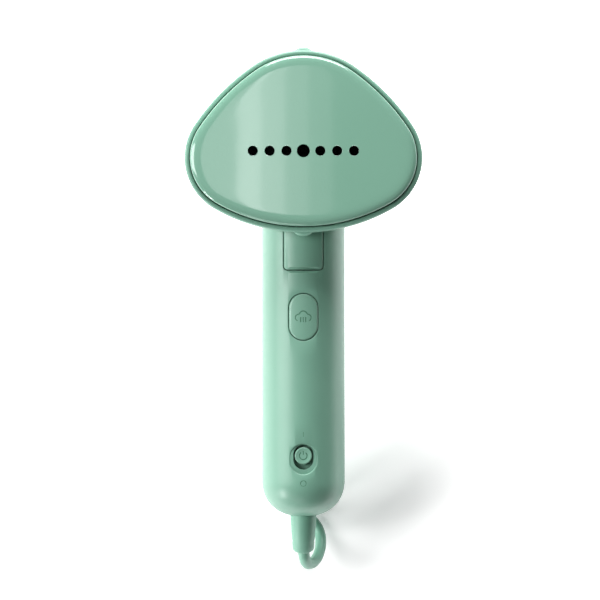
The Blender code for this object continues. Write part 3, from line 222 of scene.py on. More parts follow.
# Ceramic-coated aluminium steam plate: glossy, with the slight waviness of a sprayed and fired coat.
MINT_CERAMIC = surface(
    "mint_ceramic_coating", ("729C89", "6F9986"), (0.05, 0.08), grain=(7.0, 0.004), cloud=40.0,
    IOR=1.5, Coat_Weight=0.4, Coat_Roughness=0.05)
# The same ABS from a polished tool, as on the two buttons that the thumb rubs smooth.
# Its lighter edge tone is rubbed wear and also a painted highlight along the edges.
BUTTON_ABS = surface(
    "mint_button_abs", ("729D8A", "6D9885"), (0.28, 0.38), grain=(0.8, 0.006), edge_wear_and_highlight="96C4B0", IOR=1.53)
# Pad-printed ink at the bottom of a moulded mark: darker and duller than the plastic round it.
MARK_INK = surface("dark_mint_ink", ("4F7F6A", "4A7964"), (0.5, 0.6), grain=(0.5, 0.01))
# Painted shade for the steam holes and the chamber behind: near-black and matt, so that a hole looks deep.
HOLE_PAINTED_SHADE = surface("hole_painted_shade", ("101312", "0A0C0B"), (0.7, 0.85), grain=(0.5, 0.02))
# Flexible PVC of the strain relief, the cap and the plug: softer sheen than the ABS, and a slight skin.
MINT_VINYL = surface(
    "mint_flexible_pvc", ("72A48F", "6B9D88"), (0.42, 0.54), grain=(0.7, 0.014), cloud=12.0, IOR=1.52)
# Extruded PVC cord sheath: satin, with faint drawing lumps of a few millimetres.
CORD_SHEATH = surface(
    "mint_cord_sheath", ("74A691", "6B9D88"), (0.38, 0.5), grain=(2.2, 0.03), cloud=9.0, IOR=1.52)
# Clear copolyester tank, moulded with a smoky mint tint.
TANK_CLEAR = surface(
    "smoked_copolyester", ("A9CFC0", "A0C8B8"), (0.05, 0.12), grain=(4.0, 0.004), cloud=30.0,
    Transmission_Weight=0.92, IOR=1.54)
# Zinc-plated steel: grey-white metal with the cloudy bloom of passivated plating.
ZINC_STEEL = surface(
    "zinc_plated_steel", ("C4C7C8", "AEB1B2"), (0.25, 0.42), grain=(0.6, 0.008), cloud=5.0, Metallic=1.0)
# Red iron-oxide silicone, the usual heat-proof seal.
RED_SILICONE = surface("red_oxide_silicone", ("B4503C", "A64632"), (0.5, 0.65), grain=(0.8, 0.02), cloud=8.0)
# Milky translucent silicone hose.
CLEAR_SILICONE = surface(
    "milky_silicone", ("E8EAE6", "DADDD8"), (0.35, 0.5), grain=(1.0, 0.02), cloud=10.0, Subsurface_Weight=0.2)
# Glass-filled black nylon: dull, with fibre marks at the surface.
BLACK_NYLON = surface("glass_filled_nylon", ("2B2D2F", "1E2022"), (0.45, 0.65), grain=(0.5, 0.02), cloud=6.0)
# Glass-epoxy circuit board under green solder resist.
GREEN_BOARD = surface("green_solder_resist", ("2F6B45", "27603C"), (0.3, 0.42), grain=(0.8, 0.01), cloud=3.0)
# Tinned brass plug blade, brushed by use.
TINNED_BRASS = surface(
    "tinned_brass", ("CDB981", "BBA56B"), (0.22, 0.38), grain=(0.5, 0.006), cloud=4.0, Metallic=1.0)


def woven_strap():
    """Plain-woven polyester strap, its threads drawn a little coarse to show."""
    pitch = 0.7 * MM
    made = surface("woven_polyester_strap", ("6E9A86", "5F8B77"), (0.75, 0.9), cloud=6.0)
    tree = made.node_tree
    shader = next(n for n in tree.nodes if n.type == "BSDF_PRINCIPLED")
    place = add(tree, "ShaderNodeTexCoord").outputs["Object"]
    threads = []
    for direction in ("Y", "DIAGONAL"):
        threads.append(add(tree, "ShaderNodeTexWave", {
            "Vector": place, "Scale": 1 / pitch / math.tau * 2, "Distortion": 0.6, "Detail": 1.0},
            bands_direction=direction))
    weave = add(tree, "ShaderNodeMath", {
        0: threads[0].outputs[1], 1: threads[1].outputs[1]}, operation="MULTIPLY")
    bump = add(tree, "ShaderNodeBump", {"Height": weave.outputs[0], "Distance": 0.15 * MM, "Strength": 0.9})
    tree.links.new(bump.outputs[0], shader.inputs["Normal"])
    shader.inputs["Sheen Weight"].default_value = 0.3
    return made


STRAP_FABRIC = woven_strap()


# ---------------------------------------------------------------- shape helpers

def new_piece(name, verts, faces, finish):
    """A mesh piece with its faces outwards and one finish."""
    bm = bmesh.new()
    made = [bm.verts.new(v) for v in verts]
    for face in faces:
        bm.faces.new([made[i] for i in face])
    bmesh.ops.recalc_face_normals(bm, faces=bm.faces)
    mesh = bpy.data.meshes.new(name)
    bm.to_mesh(mesh)
    bm.free()
    mesh.materials.append(finish)
    piece = bpy.data.objects.new(name, mesh)
    bpy.context.scene.collection.objects.link(piece)
    return piece


def lofted(name, rings, finish, hoop=False):
    """Joins rings of points into a closed solid, capped at its ends, or closed on itself as a hoop."""
    count = len(rings[0])
    verts = [point for ring in rings for point in ring]
    faces = []
    for k in range(len(rings) if hoop else len(rings) - 1):
        low, high = k * count, (k + 1) % len(rings) * count
        for i in range(count):
            j = (i + 1) % count
            faces.append((low + i, low + j, high + j, high + i))
    if not hoop:
        top = (len(rings) - 1) * count
        faces.append(tuple(reversed(range(count))))
        faces.append(tuple(range(top, top + count)))
    return new_piece(name, verts, faces, finish)


def prism(name, outline, low, high, axis, finish):
    """An outline run from low to high: X, Y for axis Z; Y, Z for axis X; X, Z for axis Y."""
    put = {
        "X": lambda u, v, w: (w, u, v), "Y": lambda u, v, w: (u, w, v), "Z": lambda u, v, w: (u, v, w)}[axis]
    return lofted(name, [[put(u, v, w) for u, v in outline] for w in (low, high)], finish)


def turned(name, profile, start, axis, finish, sides=72):
    """A profile of (radius, height) pairs turned round an axis through the start."""
    index = "XYZ".index(axis)
    rings = []
    for reach, height in profile:
        ring = []
        for i in range(sides):
            turn = math.tau * i / sides
            point = [reach * math.cos(turn), reach * math.sin(turn)]
            point.insert(index, height)
            ring.append(Vector(start) + Vector(point))
        rings.append(ring)
    return lofted(name, rings, finish)


def rod(name, radius, start, length, axis, finish, sides=64):
    """A round rod from its start along an axis."""
    return turned(name, ((radius, 0.0), (radius, length)), start, axis, finish, sides)


def block(name, low, high, finish):
    """A box between two corners."""
    outline = ((low[0], low[1]), (high[0], low[1]), (high[0], high[1]), (low[0], high[1]))
    return prism(name, outline, low[2], high[2], "Z", finish)


def settle(piece):
    """Turns what the modifiers make into the piece's own plain mesh."""
    bpy.context.view_layer.update()
    graph = bpy.context.evaluated_depsgraph_get()
    mesh = bpy.data.meshes.new_from_object(piece.evaluated_get(graph))
    piece.modifiers.clear()
    old = piece.data
    piece.data = mesh
    if old.users == 0:
        bpy.data.meshes.remove(old)
    return piece


def combine(piece, others, operation):
    for other in others:
        step = piece.modifiers.new("combine", "BOOLEAN")
        step.operation = operation
        step.solver = "EXACT"
        step.object = other
        step.material_mode = "TRANSFER"
        settle(piece)
        bpy.data.objects.remove(other)
    return piece


def carve(piece, *others):
    return combine(piece, others, "DIFFERENCE")


def fuse(piece, *others):
    return combine(piece, others, "UNION")


def trim(piece, *others):
    return combine(piece, others, "INTERSECT")


def tidy(piece, angle=32):
    """Merges doubled points, and shades smooth but for edges sharper than an angle in degrees."""
    bm = bmesh.new()
    bm.from_mesh(piece.data)
    bmesh.ops.remove_doubles(bm, verts=bm.verts, dist=2e-6)
    bmesh.ops.dissolve_degenerate(bm, edges=bm.edges, dist=1e-6)
    bm.to_mesh(piece.data)
    bm.free()
    piece.data.shade_smooth()
    piece.data.set_sharp_from_angle(angle=math.radians(angle))
    return piece


def mount(piece, body, slot, *nodes):
    """Puts a piece on its body, in place of the CAD nodes that it shows. Its slot argument is not used."""
    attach(piece, body)
    if nodes:
        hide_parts(*nodes)
    return piece


def stadium(width, length, centre=(0.0, 0.0), steps=28):
    """An oblong with round ends, along its second coordinate."""
    radius = width / 2
    straight = max(length / 2 - radius, 0.0)
    points = []
    for end, start in ((1, 0.0), (-1, math.pi)):
        for i in range(steps + 1):
            angle = start + math.pi * i / steps
            points.append((
                centre[0] + radius * math.cos(angle), centre[1] + end * straight + radius * math.sin(angle)))
    return points


def rounded_rectangle(low, high, radius, steps=8):
    points = []
    for x, y, start in (
        (high[0] - radius, high[1] - radius, 0), (low[0] + radius, high[1] - radius, 90),
        (low[0] + radius, low[1] + radius, 180), (high[0] - radius, low[1] + radius, 270),
    ):
        for i in range(steps + 1):
            angle = math.radians(start + 90 * i / steps)
            points.append((x + radius * math.cos(angle), y + radius * math.sin(angle)))
    return points


def smooth_route(points, spacing):
    """Points about a spacing apart on a Catmull-Rom curve through a route's own points."""
    ends = [2 * points[0] - points[1], *points, 2 * points[-1] - points[-2]]
    route = []
    for a, b, c, d in zip(ends, ends[1:], ends[2:], ends[3:]):
        steps = max(1, round((c - b).length / spacing))
        for i in range(steps):
            t = i / steps
            route.append(0.5 * (
                2 * b + (c - a) * t + (2 * a - 5 * b + 4 * c - d) * t ** 2
                + (3 * b - 3 * c + d - a) * t ** 3))
    return route + [points[-1]]


def ease(value):
    """A smooth step from 0 to 1."""
    value = min(1.0, max(0.0, value))
    return value * value * (3 - 2 * value)


# ---------------------------------------------------------------- cord, hank, tie and plug

def hank_point(radius, turn):
    """A point of the oblong winding: turn goes 0-1 up the left, 1-2 round the top, 2-3 down, 3-4 round."""
    low, high = HANK_ENDS_Y
    part, share = int(turn % 4), turn % 1
    if part == 0:
        return -radius, low + (high - low) * share
    if part == 2:
        return radius, high + (low - high) * share
    angle = math.pi * (1 - share) if part == 1 else -math.pi * share
    return radius * math.cos(angle), (high if part == 1 else low) + radius * math.sin(angle)


def winding_points():
    """Four turns up the outer ring, then three down the inner one, at 20 points a turn.

    A stop counts quarter turns, as in hank_point. The cord comes in just before stop 0 and climbs a layer late
    in each outer turn. It crosses to the inner ring on the last of them, and drops a layer early in each inner
    turn.
    """
    entry, crossing, last = 3.84 - 4, 14.42, 28.0
    climb, climb_length = 2.70, 0.85
    drop, drop_length = 0.10, 0.80
    stops = []
    for turn in range(7):
        for part, count in enumerate((4, 6, 4, 6)):
            stops.extend(4 * turn + part + i / count for i in range(count))
    points = []
    for stop in [entry, *stops, last]:
        level = sum(ease((stop - 4 * k - climb) / climb_length) for k in range(3))
        level -= sum(ease((stop - 4 * k - drop) / drop_length) for k in (4, 5, 6))
        radius = HANK_RADII[0] + (HANK_RADII[1] - HANK_RADII[0]) * ease(stop - crossing)
        x, y = hank_point(radius, stop % last)
        points.append(Vector((x, y, HANK_FLOOR + CORD_DIAMETER * (level + 0.5))))
    return points


def cord_points():
    """The cord's way from the boot round the visible bend, through the hank and into the plug."""
    lead, tail = ([Vector(p) * MM for p in route] for route in (CORD_ROUTE, PLUG_ROUTE))
    return [*lead, *winding_points(), *tail]


def make_cord():
    """The whole sheath, as one round curve."""
    curve = bpy.data.curves.new("cord_sheath", "CURVE")
    curve.dimensions = "3D"
    curve.bevel_depth = CORD_DIAMETER / 2
    curve.bevel_resolution = 6
    curve.resolution_u = 6
    curve.use_fill_caps = True
    points = cord_points()
    spline = curve.splines.new("BEZIER")
    spline.bezier_points.add(len(points) - 1)
    for knot, point in zip(spline.bezier_points, points):
        knot.co = point
        knot.handle_left_type = knot.handle_right_type = "AUTO"
    curve.materials.append(CORD_SHEATH)
    piece = bpy.data.objects.new("cord_line", curve)
    bpy.context.scene.collection.objects.link(piece)
    return mount(piece, "handle", "cord_sheath", "cord", "cord_hank")


def route_length(points):
    line = smooth_route(points, 1 * MM)
    return sum((b - a).length for a, b in zip(line, line[1:]))


def make_tie():
    """Strap round the hank, with rounded edges and a folded-back tab on top."""
    half, (low, high) = TIE_HALF_WIDTH, TIE_HEIGHTS
    section = ((0.0, -8.7), (0.0, 8.7), (0.15, 8.95), (0.4, 9.0), (0.65, 8.95), (0.8, 8.7), (0.8, -8.7),
               (0.65, -8.95), (0.4, -9.0), (0.15, -8.95))
    rings = []
    for out, along in section:
        out *= MM
        corner = 0.6 * MM + out * 0.5
        outline = rounded_rectangle((-half - out, low - out), (half + out, high + out), corner, 6)
        rings.append([(x, TIE_Y + along * MM, z) for x, z in outline])
    strap = tidy(lofted("cord_strap", rings, STRAP_FABRIC, hoop=True), 40)
    tab_rings = []
    for inset, z in ((0.6, 26.62), (0.15, 26.7), (0.0, 26.95), (0.15, 27.2), (0.6, 27.3)):
        outline = rounded_rectangle((-20.5 + inset, -7.5 + inset), (4 - inset, 7.5 - inset), 3.5 - inset, 8)
        tab_rings.append([(x * MM, TIE_Y + y * MM, z * MM) for x, y in outline])
    tab = tidy(lofted("strap_tab", tab_rings, STRAP_FABRIC), 40)
    mount(strap, "handle", "tie_fabric", "cord_tie")
    return strap, mount(tab, "handle", "tie_fabric")


def make_plug():
    """Moulded two-blade plug: a tapered tail, finger scallops, and a flat face."""
    middle = HANK_FLOOR + PLUG_MIDDLE
    stations = (
        (-1.4, 3.6, 3.6), (-1.0, 3.95, 3.95), (0.6, 4.3, 4.2), (3.0, 5.2, 4.6), (5.6, 7.2, 5.6),
        (7.4, 8.0, 6.1), (9.0, 8.15, 6.25), (10.2, 7.75, 6.0), (11.4, 8.15, 6.25), (12.6, 7.75, 6.0),
        (13.8, 8.15, 6.25), (15.0, 7.75, 6.0), (16.2, 8.15, 6.25), (19.6, 8.15, 6.25), (20.5, 7.95, 6.05),
        (20.9, 7.4, 5.5))
    rings = []
    for along, half_width, half_height in stations:
        ring = []
        for i in range(64):
            turn = math.tau * i / 64
            c, s = math.cos(turn), math.sin(turn)
            ring.append((
                half_width * MM * math.copysign(abs(c) ** PLUG_SQUARENESS, c), PLUG_BACK_Y + along * MM,
                middle + half_height * MM * math.copysign(abs(s) ** PLUG_SQUARENESS, s)))
        rings.append(ring)
    plug = tidy(lofted("plug_moulding", rings, MINT_VINYL), 50)
    return mount(plug, "handle", "mint_vinyl", "plug_body")


def boot_frames():
    """Places and directions along the strain relief."""
    points = smooth_route([Vector(p) * MM for p in BOOT_ROUTE], 1.0 * MM)
    frames = []
    for i, point in enumerate(points):
        ahead = points[min(i + 1, len(points) - 1)] - points[max(i - 1, 0)]
        frames.append((point, ahead.normalized()))
    return frames


def make_boot():
    """Tapered strain relief with a rounded mouth, and a bore that the cord comes out of."""
    frames = boot_frames()
    side = Vector((1, 0, 0))
    count = len(frames) - 1
    stations = []
    for i, (point, ahead) in enumerate(frames):
        if i < 2:
            radius = BOOT_RADII[0] + BOOT_FLANGE
        else:
            share = max(0.0, (i / count - 0.2) / 0.8)
            radius = BOOT_RADII[0] + (BOOT_RADII[1] - BOOT_RADII[0]) * share
            if abs(i - (count - 4)) < 1:
                radius -= 0.18 * MM
        stations.append((point, ahead, radius))
    end, ahead = frames[-1]
    mouth = stations[-1][2]
    for angle in (20, 40, 60, 80):
        a = math.radians(angle)
        stations.append((end + ahead * BOOT_LIP * math.sin(a), ahead, mouth - BOOT_LIP * (1 - math.cos(a))))
    for along, bore in ((0.9, 3.5), (0.4, 3.2), (-2.0, 3.1)):
        stations.append((end + ahead * along * MM, ahead, bore * MM))
    rings = []
    for point, ahead, radius in stations:
        up = side.cross(ahead).normalized()
        rings.append([
            point + radius * (side * math.cos(math.tau * i / 72) + up * math.sin(math.tau * i / 72))
            for i in range(72)])
    boot = tidy(lofted("strain_relief", rings, MINT_VINYL), 42)
    return mount(boot, "handle", "mint_vinyl", "cord_boot")


cord = make_cord()
strap, strap_tab = make_tie()
plug = make_plug()
boot = make_boot()
cord_length = route_length(cord_points())


# ---------------------------------------------------------------- head outline

def outline_arcs():
    """Centre, radius, first and last angle of each arc down the head's right side, from the top."""
    angles = [math.radians(a) for a in ARC_ENDS]
    sideways = HEAD_WIDTH / 2 - CORNER_RADIUS * (1 - math.cos(angles[2])) - TOP_RADIUS * math.cos(angles[1])
    side_radius = sideways / (math.cos(angles[2]) - math.cos(angles[1]))
    radii = [TOP_RADIUS, side_radius, CORNER_RADIUS]
    centre = Vector((0, HEAD_TOP_Y - TOP_RADIUS))
    centres = [centre]
    for angle, radius, after in zip(angles[1:], radii, radii[1:]):
        centre = centre + (radius - after) * Vector((math.cos(angle), math.sin(angle)))
        centres.append(centre)
    last = Vector((math.cos(angles[3]), math.sin(angles[3])))
    radii.append(CORNER_RADIUS + centre.x / math.cos(angles[3]))
    centres.append(centre + (CORNER_RADIUS - radii[3]) * last)
    return list(zip(centres, radii, angles, angles[1:]))


ARCS = outline_arcs()


def head_outline(inset=0.0, spacing=1.0, bump=0.0):
    """The head's closed outline moved inwards by an inset, with its two small lugs raised by a share."""
    right = []
    for centre, radius, first, last in ARCS:
        steps = max(4, round(radius * abs(first - last) / (spacing * MM)))
        for i in range(steps):
            angle = first + (last - first) * i / steps
            reach = radius - inset
            right.append(Vector((centre.x + reach * math.cos(angle), centre.y + reach * math.sin(angle))))
    centre, radius = ARCS[-1][:2]
    bottom = Vector((0.0, centre.y - radius + inset))
    points = [right[0], *[Vector((-p.x, p.y)) for p in right[1:]], bottom, *reversed(right[1:])]
    if bump:
        for point in points:
            share = point.x / BUMP_HALF
            if abs(share) < 1:
                rise = BUMP_HEIGHT * bump * (1 - share ** 2) ** 0.7
                point.y += math.copysign(rise, point.y - PLATE_CENTRE_Y)
    return [tuple(p) for p in points]


HEAD_BOTTOM_Y = min(y for _, y in head_outline())


def scaled_outline(scale, inset=0.0):
    """The outline shrunk towards the back body, whose lowest point is BACK_BOTTOM_Y."""
    share = (1 - scale) / (1 - BACK_SCALE)
    bottom = HEAD_BOTTOM_Y + share * (BACK_BOTTOM_Y - HEAD_BOTTOM_Y)
    return [
        (x * scale, bottom + (y - HEAD_BOTTOM_Y) * scale) for x, y in head_outline(inset / scale, 1.5)]


def at_height(outline, z):
    return [(x, y, z) for x, y in outline]


# ---------------------------------------------------------------- head pieces

def make_bezel():
    """Front ring of the head: a rounded rim, and the two lugs that lock it to the housing.

    Each row of its section is an inset and a height in mm, and the share to which the lugs are raised there.
    """
    section = (
        (0.25, 74.3, 0), (0.0, 74.55, 0), (0.0, 76.2, 0), (0.0, 76.7, 0.45), (0.0, 77.1, 0.85),
        (0.0, 77.8, 1.0), (0.0, 82.0, 1.0), (0.0, 86.0, 1.0), (0.0, 86.8, 0.93), (0.0, 87.4, 0.75),
        (0.0, 87.8, 0.45), (0.0, 88.0, 0.0), (0.0, 88.6, 0), (0.08, 89.0, 0), (0.28, 89.4, 0),
        (0.6, 89.75, 0), (1.0, 89.95, 0),
        (1.4, 90.0, 0), (1.8, 89.97, 0), (2.15, 89.85, 0), (2.4, 89.65, 0), (2.55, 89.4, 0), (2.6, 89.0, 0),
        (2.6, 84.0, 0), (2.6, 76.0, 0), (2.6, 74.3, 0))
    rings = [at_height(head_outline(inset * MM, 0.6, lugs), z * MM) for inset, z, lugs in section]
    bezel = tidy(lofted("bezel_ring", rings, MINT_ABS, hoop=True), 38)
    return mount(bezel, "head", "mint_housing", "bezel")


def make_steam_plate():
    """Flat plate with a rolled edge and seven countersunk holes; its section is insets and heights in mm."""
    section = (
        (3.0, 87.7), (3.0, 91.6), (3.03, 92.0), (3.15, 92.35), (3.4, 92.68), (3.8, 93.0), (4.4, 93.32),
        (5.1, 93.56), (5.9, 93.72), (6.8, 93.82), (8.0, 93.88), (10.0, 93.9), (13.0, 93.9), (16.0, 93.9))
    rings = [at_height(head_outline(inset * MM, 1.3), z * MM) for inset, z in section]
    inner = [Vector(p) for p in rings[-1]]
    centre = Vector((0, PLATE_CENTRE_Y, 0))
    for share in (0.86, 0.72, 0.58, 0.44, 0.3, 0.16, 0.04):
        crown = (93.94 - 0.04 * share ** 2) * MM
        rings.append([
            (centre.x + (p.x - centre.x) * share, centre.y + (p.y - centre.y) * share, crown) for p in inner])
    plate = lofted("steam_plate_face", rings, MINT_CERAMIC)
    # The hole walls take the painted hole shade from their cutters.
    for i in range(-3, 4):
        radius = HOLE_RADIUS if i else MIDDLE_HOLE_RADIUS
        profile = (
            (radius, 80 * MM), (radius, 93.55 * MM), (radius + 0.12 * MM, 93.75 * MM),
            (radius + 0.6 * MM, 94.5 * MM))
        carve(plate, turned("hole", profile, (i * HOLE_PITCH, HOLES_Y, 0), "Z", HOLE_PAINTED_SHADE, sides=56))
    tidy(plate, 24)
    return mount(plate, "head", "mint_plate", "steam_plate")


def housing_scale(z):
    """The rear housing's size at a height in mm, on one smooth curve through levels with given slopes."""
    levels = ((0, 0.74), (46, 0.74), (53, 0.775), (60, 0.855), (67, 0.945), (74, 1.0))
    slopes = [0.0, 0.0, 0.0085, 0.0125, 0.0105, 0.0045]
    for k, ((a, low), (b, high)) in enumerate(zip(levels, levels[1:])):
        if z <= b:
            t, span = (z - a) / (b - a), b - a
            return (
                (2 * t ** 3 - 3 * t ** 2 + 1) * low + (t ** 3 - 2 * t ** 2 + t) * span * slopes[k]
                + (3 * t ** 2 - 2 * t ** 3) * high + (t ** 3 - t ** 2) * span * slopes[k + 1])
    return 1.0


def housing_rings(inset, low):
    heights = [low, 12, 24, 36, 44, *[46 + 2 * i for i in range(15)]]
    return [at_height(scaled_outline(housing_scale(z), inset), z * MM) for z in heights]


def bay(grow):
    """The room at the back that the tank slides out of."""
    return block("bay", (-0.2, SHELF_TOP_Y - grow, -0.05), (0.2, 0.25, BAY_FLOOR_Z + grow), MINT_ABS)


def saddle(grow):
    """The round hollow that the handle's end turns in."""
    half = HANDLE_RADIUS + HANDLE_CLEARANCE + grow
    return rod("saddle", half, (-half, PIVOT_Y, HANDLE_Z), 2 * half, "X", MINT_ABS, sides=128)


def make_rear_housing():
    """Back shell of the head, with the tank's bay, the handle's hollow, and holes for the neck and valve."""
    back = [
        at_height(scaled_outline(BACK_SCALE, inset * MM), z * MM)
        for inset, z in ((1.2, 1.0), (0.55, 1.2), (0.15, 1.65), (0.0, 2.3))]
    top = [at_height(scaled_outline(1.0, 0.3 * MM), HOUSING_FRONT_Z)]
    outer = housing_rings(0.0, 6)
    outer[-1] = at_height(scaled_outline(housing_scale(73.7), 0.0), 73.7 * MM)
    housing = lofted("head_shell", [*back, *outer, *top], MINT_ABS)
    carve(housing, bay(0.0), saddle(0.0))
    mouth = at_height(scaled_outline(1.0, HOUSING_WALL), 80 * MM)
    inside = lofted("inside", [*housing_rings(HOUSING_WALL, 3.2), mouth], MINT_ABS)
    carve(inside, bay(HOUSING_WALL), saddle(HOUSING_WALL))
    slot = TONGUE_WIDTH / 2 + 0.3 * MM
    neck_low = (-slot, PIVOT_Y, HANDLE_Z - TONGUE_DROP - 0.3 * MM)
    neck_high = (slot, SHELF_TOP_Y - 6 * MM, HANDLE_Z + 11.3 * MM)
    carve(
        housing, inside, block("neck_hole", neck_low, neck_high, MINT_ABS),
        rod("valve_hole", VALVE_RADIUS + 0.5 * MM, (0, SHELF_TOP_Y - 5 * MM, VALVE_Z), 0.01, "Y", MINT_ABS))
    for x, y in HEAD_SCREWS:
        start = (x, y, BAY_FLOOR_Z - 2 * MM)
        carve(housing, rod("screw_hole", SCREW_HOLE_RADIUS, start, 8 * MM, "Z", MINT_ABS, sides=32))
    tidy(housing, 30)
    return mount(housing, "head", "mint_housing", "rear_housing")


def surface_z(x):
    """The height of the handle's front at a distance from its middle."""
    return HANDLE_Z + math.sqrt(max(HANDLE_RADIUS ** 2 - x ** 2, 0.0))


def lip_steps(radius, inwards):
    """(growth, drop below the surface) round a lip, ending a little above the surface."""
    sign = -1 if inwards else 1
    steps = []
    for angle in (0, 16, 32, 48, 64):
        a = math.radians(angle)
        steps.append((sign * radius * (1 - math.cos(a)), radius * (1 - math.sin(a))))
    growth, drop = steps[-1]
    reach = 1.2 * MM
    steps.append((growth + sign * reach * math.sin(a), drop - reach * math.cos(a)))
    return steps


def lipped(name, outline_at, floor, lip, finish, inwards=False):
    """A column with the outline's walls, whose lip is rounded where it meets the handle's surface."""
    rings = [[(x, y, floor) for x, y in outline_at(0.0)]]
    for growth, drop in lip_steps(lip, inwards):
        rings.append([(x, y, surface_z(x) - drop) for x, y in outline_at(growth)])
    rings.append([(x, y, HANDLE_Z + HANDLE_RADIUS + 3 * MM) for x, y in outline_at(growth)])
    return lofted(name, rings, finish)


def tongue_outline(gap):
    def outline(growth):
        half = TONGUE_WIDTH / 2 + gap + growth
        low = PIVOT_Y - TONGUE_DROP - gap - growth
        return rounded_rectangle((-half, low), (half, 0.2), max(TONGUE_CORNER + gap + growth, 0.3 * MM))
    return outline


def make_neck():
    """The head's tongue, which turns between the handle's cheeks and ends flush in the handle's front."""
    root = SHELF_TOP_Y - 6.5 * MM
    step_y, step_z = HEAD_BOTTOM_Y + 1.3 * MM, HANDLE_Z + 11 * MM
    low, front = PIVOT_Y - TONGUE_DROP, HANDLE_Z + HANDLE_RADIUS + 2 * MM
    outline = [
        (root, HANDLE_Z - TONGUE_DROP), (root, step_z), (step_y, step_z), (step_y, front), (low, front)]
    for i in range(41):
        angle = math.pi + math.pi / 2 * i / 40
        outline.append((PIVOT_Y + TONGUE_DROP * math.cos(angle), HANDLE_Z + TONGUE_DROP * math.sin(angle)))
    half = TONGUE_WIDTH / 2
    neck = prism("neck_panel", outline, -half, half, "X", MINT_ABS)
    trim(neck, lipped("face", tongue_outline(0.0), HANDLE_Z - 0.06, 0.9 * MM, MINT_ABS, inwards=True))
    trim(neck, rod("round", HANDLE_RADIUS, (0, -0.13, HANDLE_Z), 0.26, "Y", MINT_ABS, sides=192))
    start = (-BARREL_WIDTH / 2, PIVOT_Y, HANDLE_Z)
    barrel = rod("barrel", BARREL_RADIUS, start, BARREL_WIDTH, "X", MINT_ABS, sides=128)
    flange = block("flange", (-15 * MM, 64.3 * MM, 40 * MM), (15 * MM, 67 * MM, 60 * MM), MINT_ABS)
    fuse(neck, barrel, flange)
    carve(neck, rod("bore", PIN_RADIUS + 0.3 * MM, (-0.02, PIVOT_Y, HANDLE_Z), 0.04, "X", MINT_ABS))
    tidy(neck, 30)
    return mount(neck, "head", "mint_housing", "neck_tongue")


def make_hole_rims():
    """Beads round the steam holes, made with Geometry Nodes."""
    radius, middle_radius = HOLE_RADIUS + 0.2 * MM, MIDDLE_HOLE_RADIUS + 0.2 * MM
    rims = apply_tree("steam_hole_rims", hole_rim_tree(), [], {
        "Pitch": HOLE_PITCH, "Radius": radius, "Middle Scale": middle_radius / radius, "Bead": 0.16 * MM,
        "Row Y": HOLES_Y, "Height": 93.82 * MM, "Finish": MINT_CERAMIC})
    return mount(rims, "head", "mint_plate")


def make_screws(name, places, length, body, *nodes):
    """Screws at the seats of their recesses, made with Geometry Nodes."""
    screws = apply_tree(name, SCREW_TREE, places, {
        "Head Radius": SCREW_HEAD_RADIUS, "Head Height": SCREW_HEAD_HEIGHT,
        "Shank Radius": SCREW_SHANK_RADIUS, "Length": length, "Finish": ZINC_STEEL})
    return mount(screws, body, "zinc_steel", *nodes)


# ---------------------------------------------------------------- Geometry Nodes tools

def new_tree(name, inputs):
    tree = bpy.data.node_groups.new(name, "GeometryNodeTree")
    tree.interface.new_socket("Geometry", in_out="INPUT", socket_type="NodeSocketGeometry")
    kinds = {"Finish": "NodeSocketMaterial", "Count": "NodeSocketInt"}
    for label in inputs:
        kind = kinds.get(label, "NodeSocketFloat")
        tree.interface.new_socket(label, in_out="INPUT", socket_type=kind)
    tree.interface.new_socket("Geometry", in_out="OUTPUT", socket_type="NodeSocketGeometry")
    return tree, add(tree, "NodeGroupInput").outputs


def close_tree(tree, instances, finish):
    """Ends a tree in real geometry with its material."""
    real = add(tree, "GeometryNodeRealizeInstances", {"Geometry": instances})
    shaded = add(tree, "GeometryNodeSetShadeSmooth", {"Geometry": real.outputs[0], "Shade Smooth": True})
    coated = add(tree, "GeometryNodeSetMaterial", {"Geometry": shaded.outputs[0], "Material": finish})
    add(tree, "NodeGroupOutput", {"Geometry": coated.outputs[0]})
    return tree


def apply_tree(name, tree, points, values):
    """Runs a tree on an object that holds only points, and keeps the result as its plain mesh."""
    mesh = bpy.data.meshes.new(name)
    mesh.from_pydata(points, [], [])
    piece = bpy.data.objects.new(name, mesh)
    bpy.context.scene.collection.objects.link(piece)
    step = piece.modifiers.new("make", "NODES")
    step.node_group = tree
    for item in tree.interface.items_tree:
        if item.in_out == "INPUT" and item.name in values:
            step[item.identifier] = values[item.name]
    settle(piece)
    return tidy(piece, 35)


def combined(tree, x=0.0, y=0.0, z=0.0):
    return add(tree, "ShaderNodeCombineXYZ", {"X": x, "Y": y, "Z": z}).outputs[0]


def scaled(tree, value, factor):
    return add(tree, "ShaderNodeMath", {0: value, 1: factor}, operation="MULTIPLY").outputs[0]


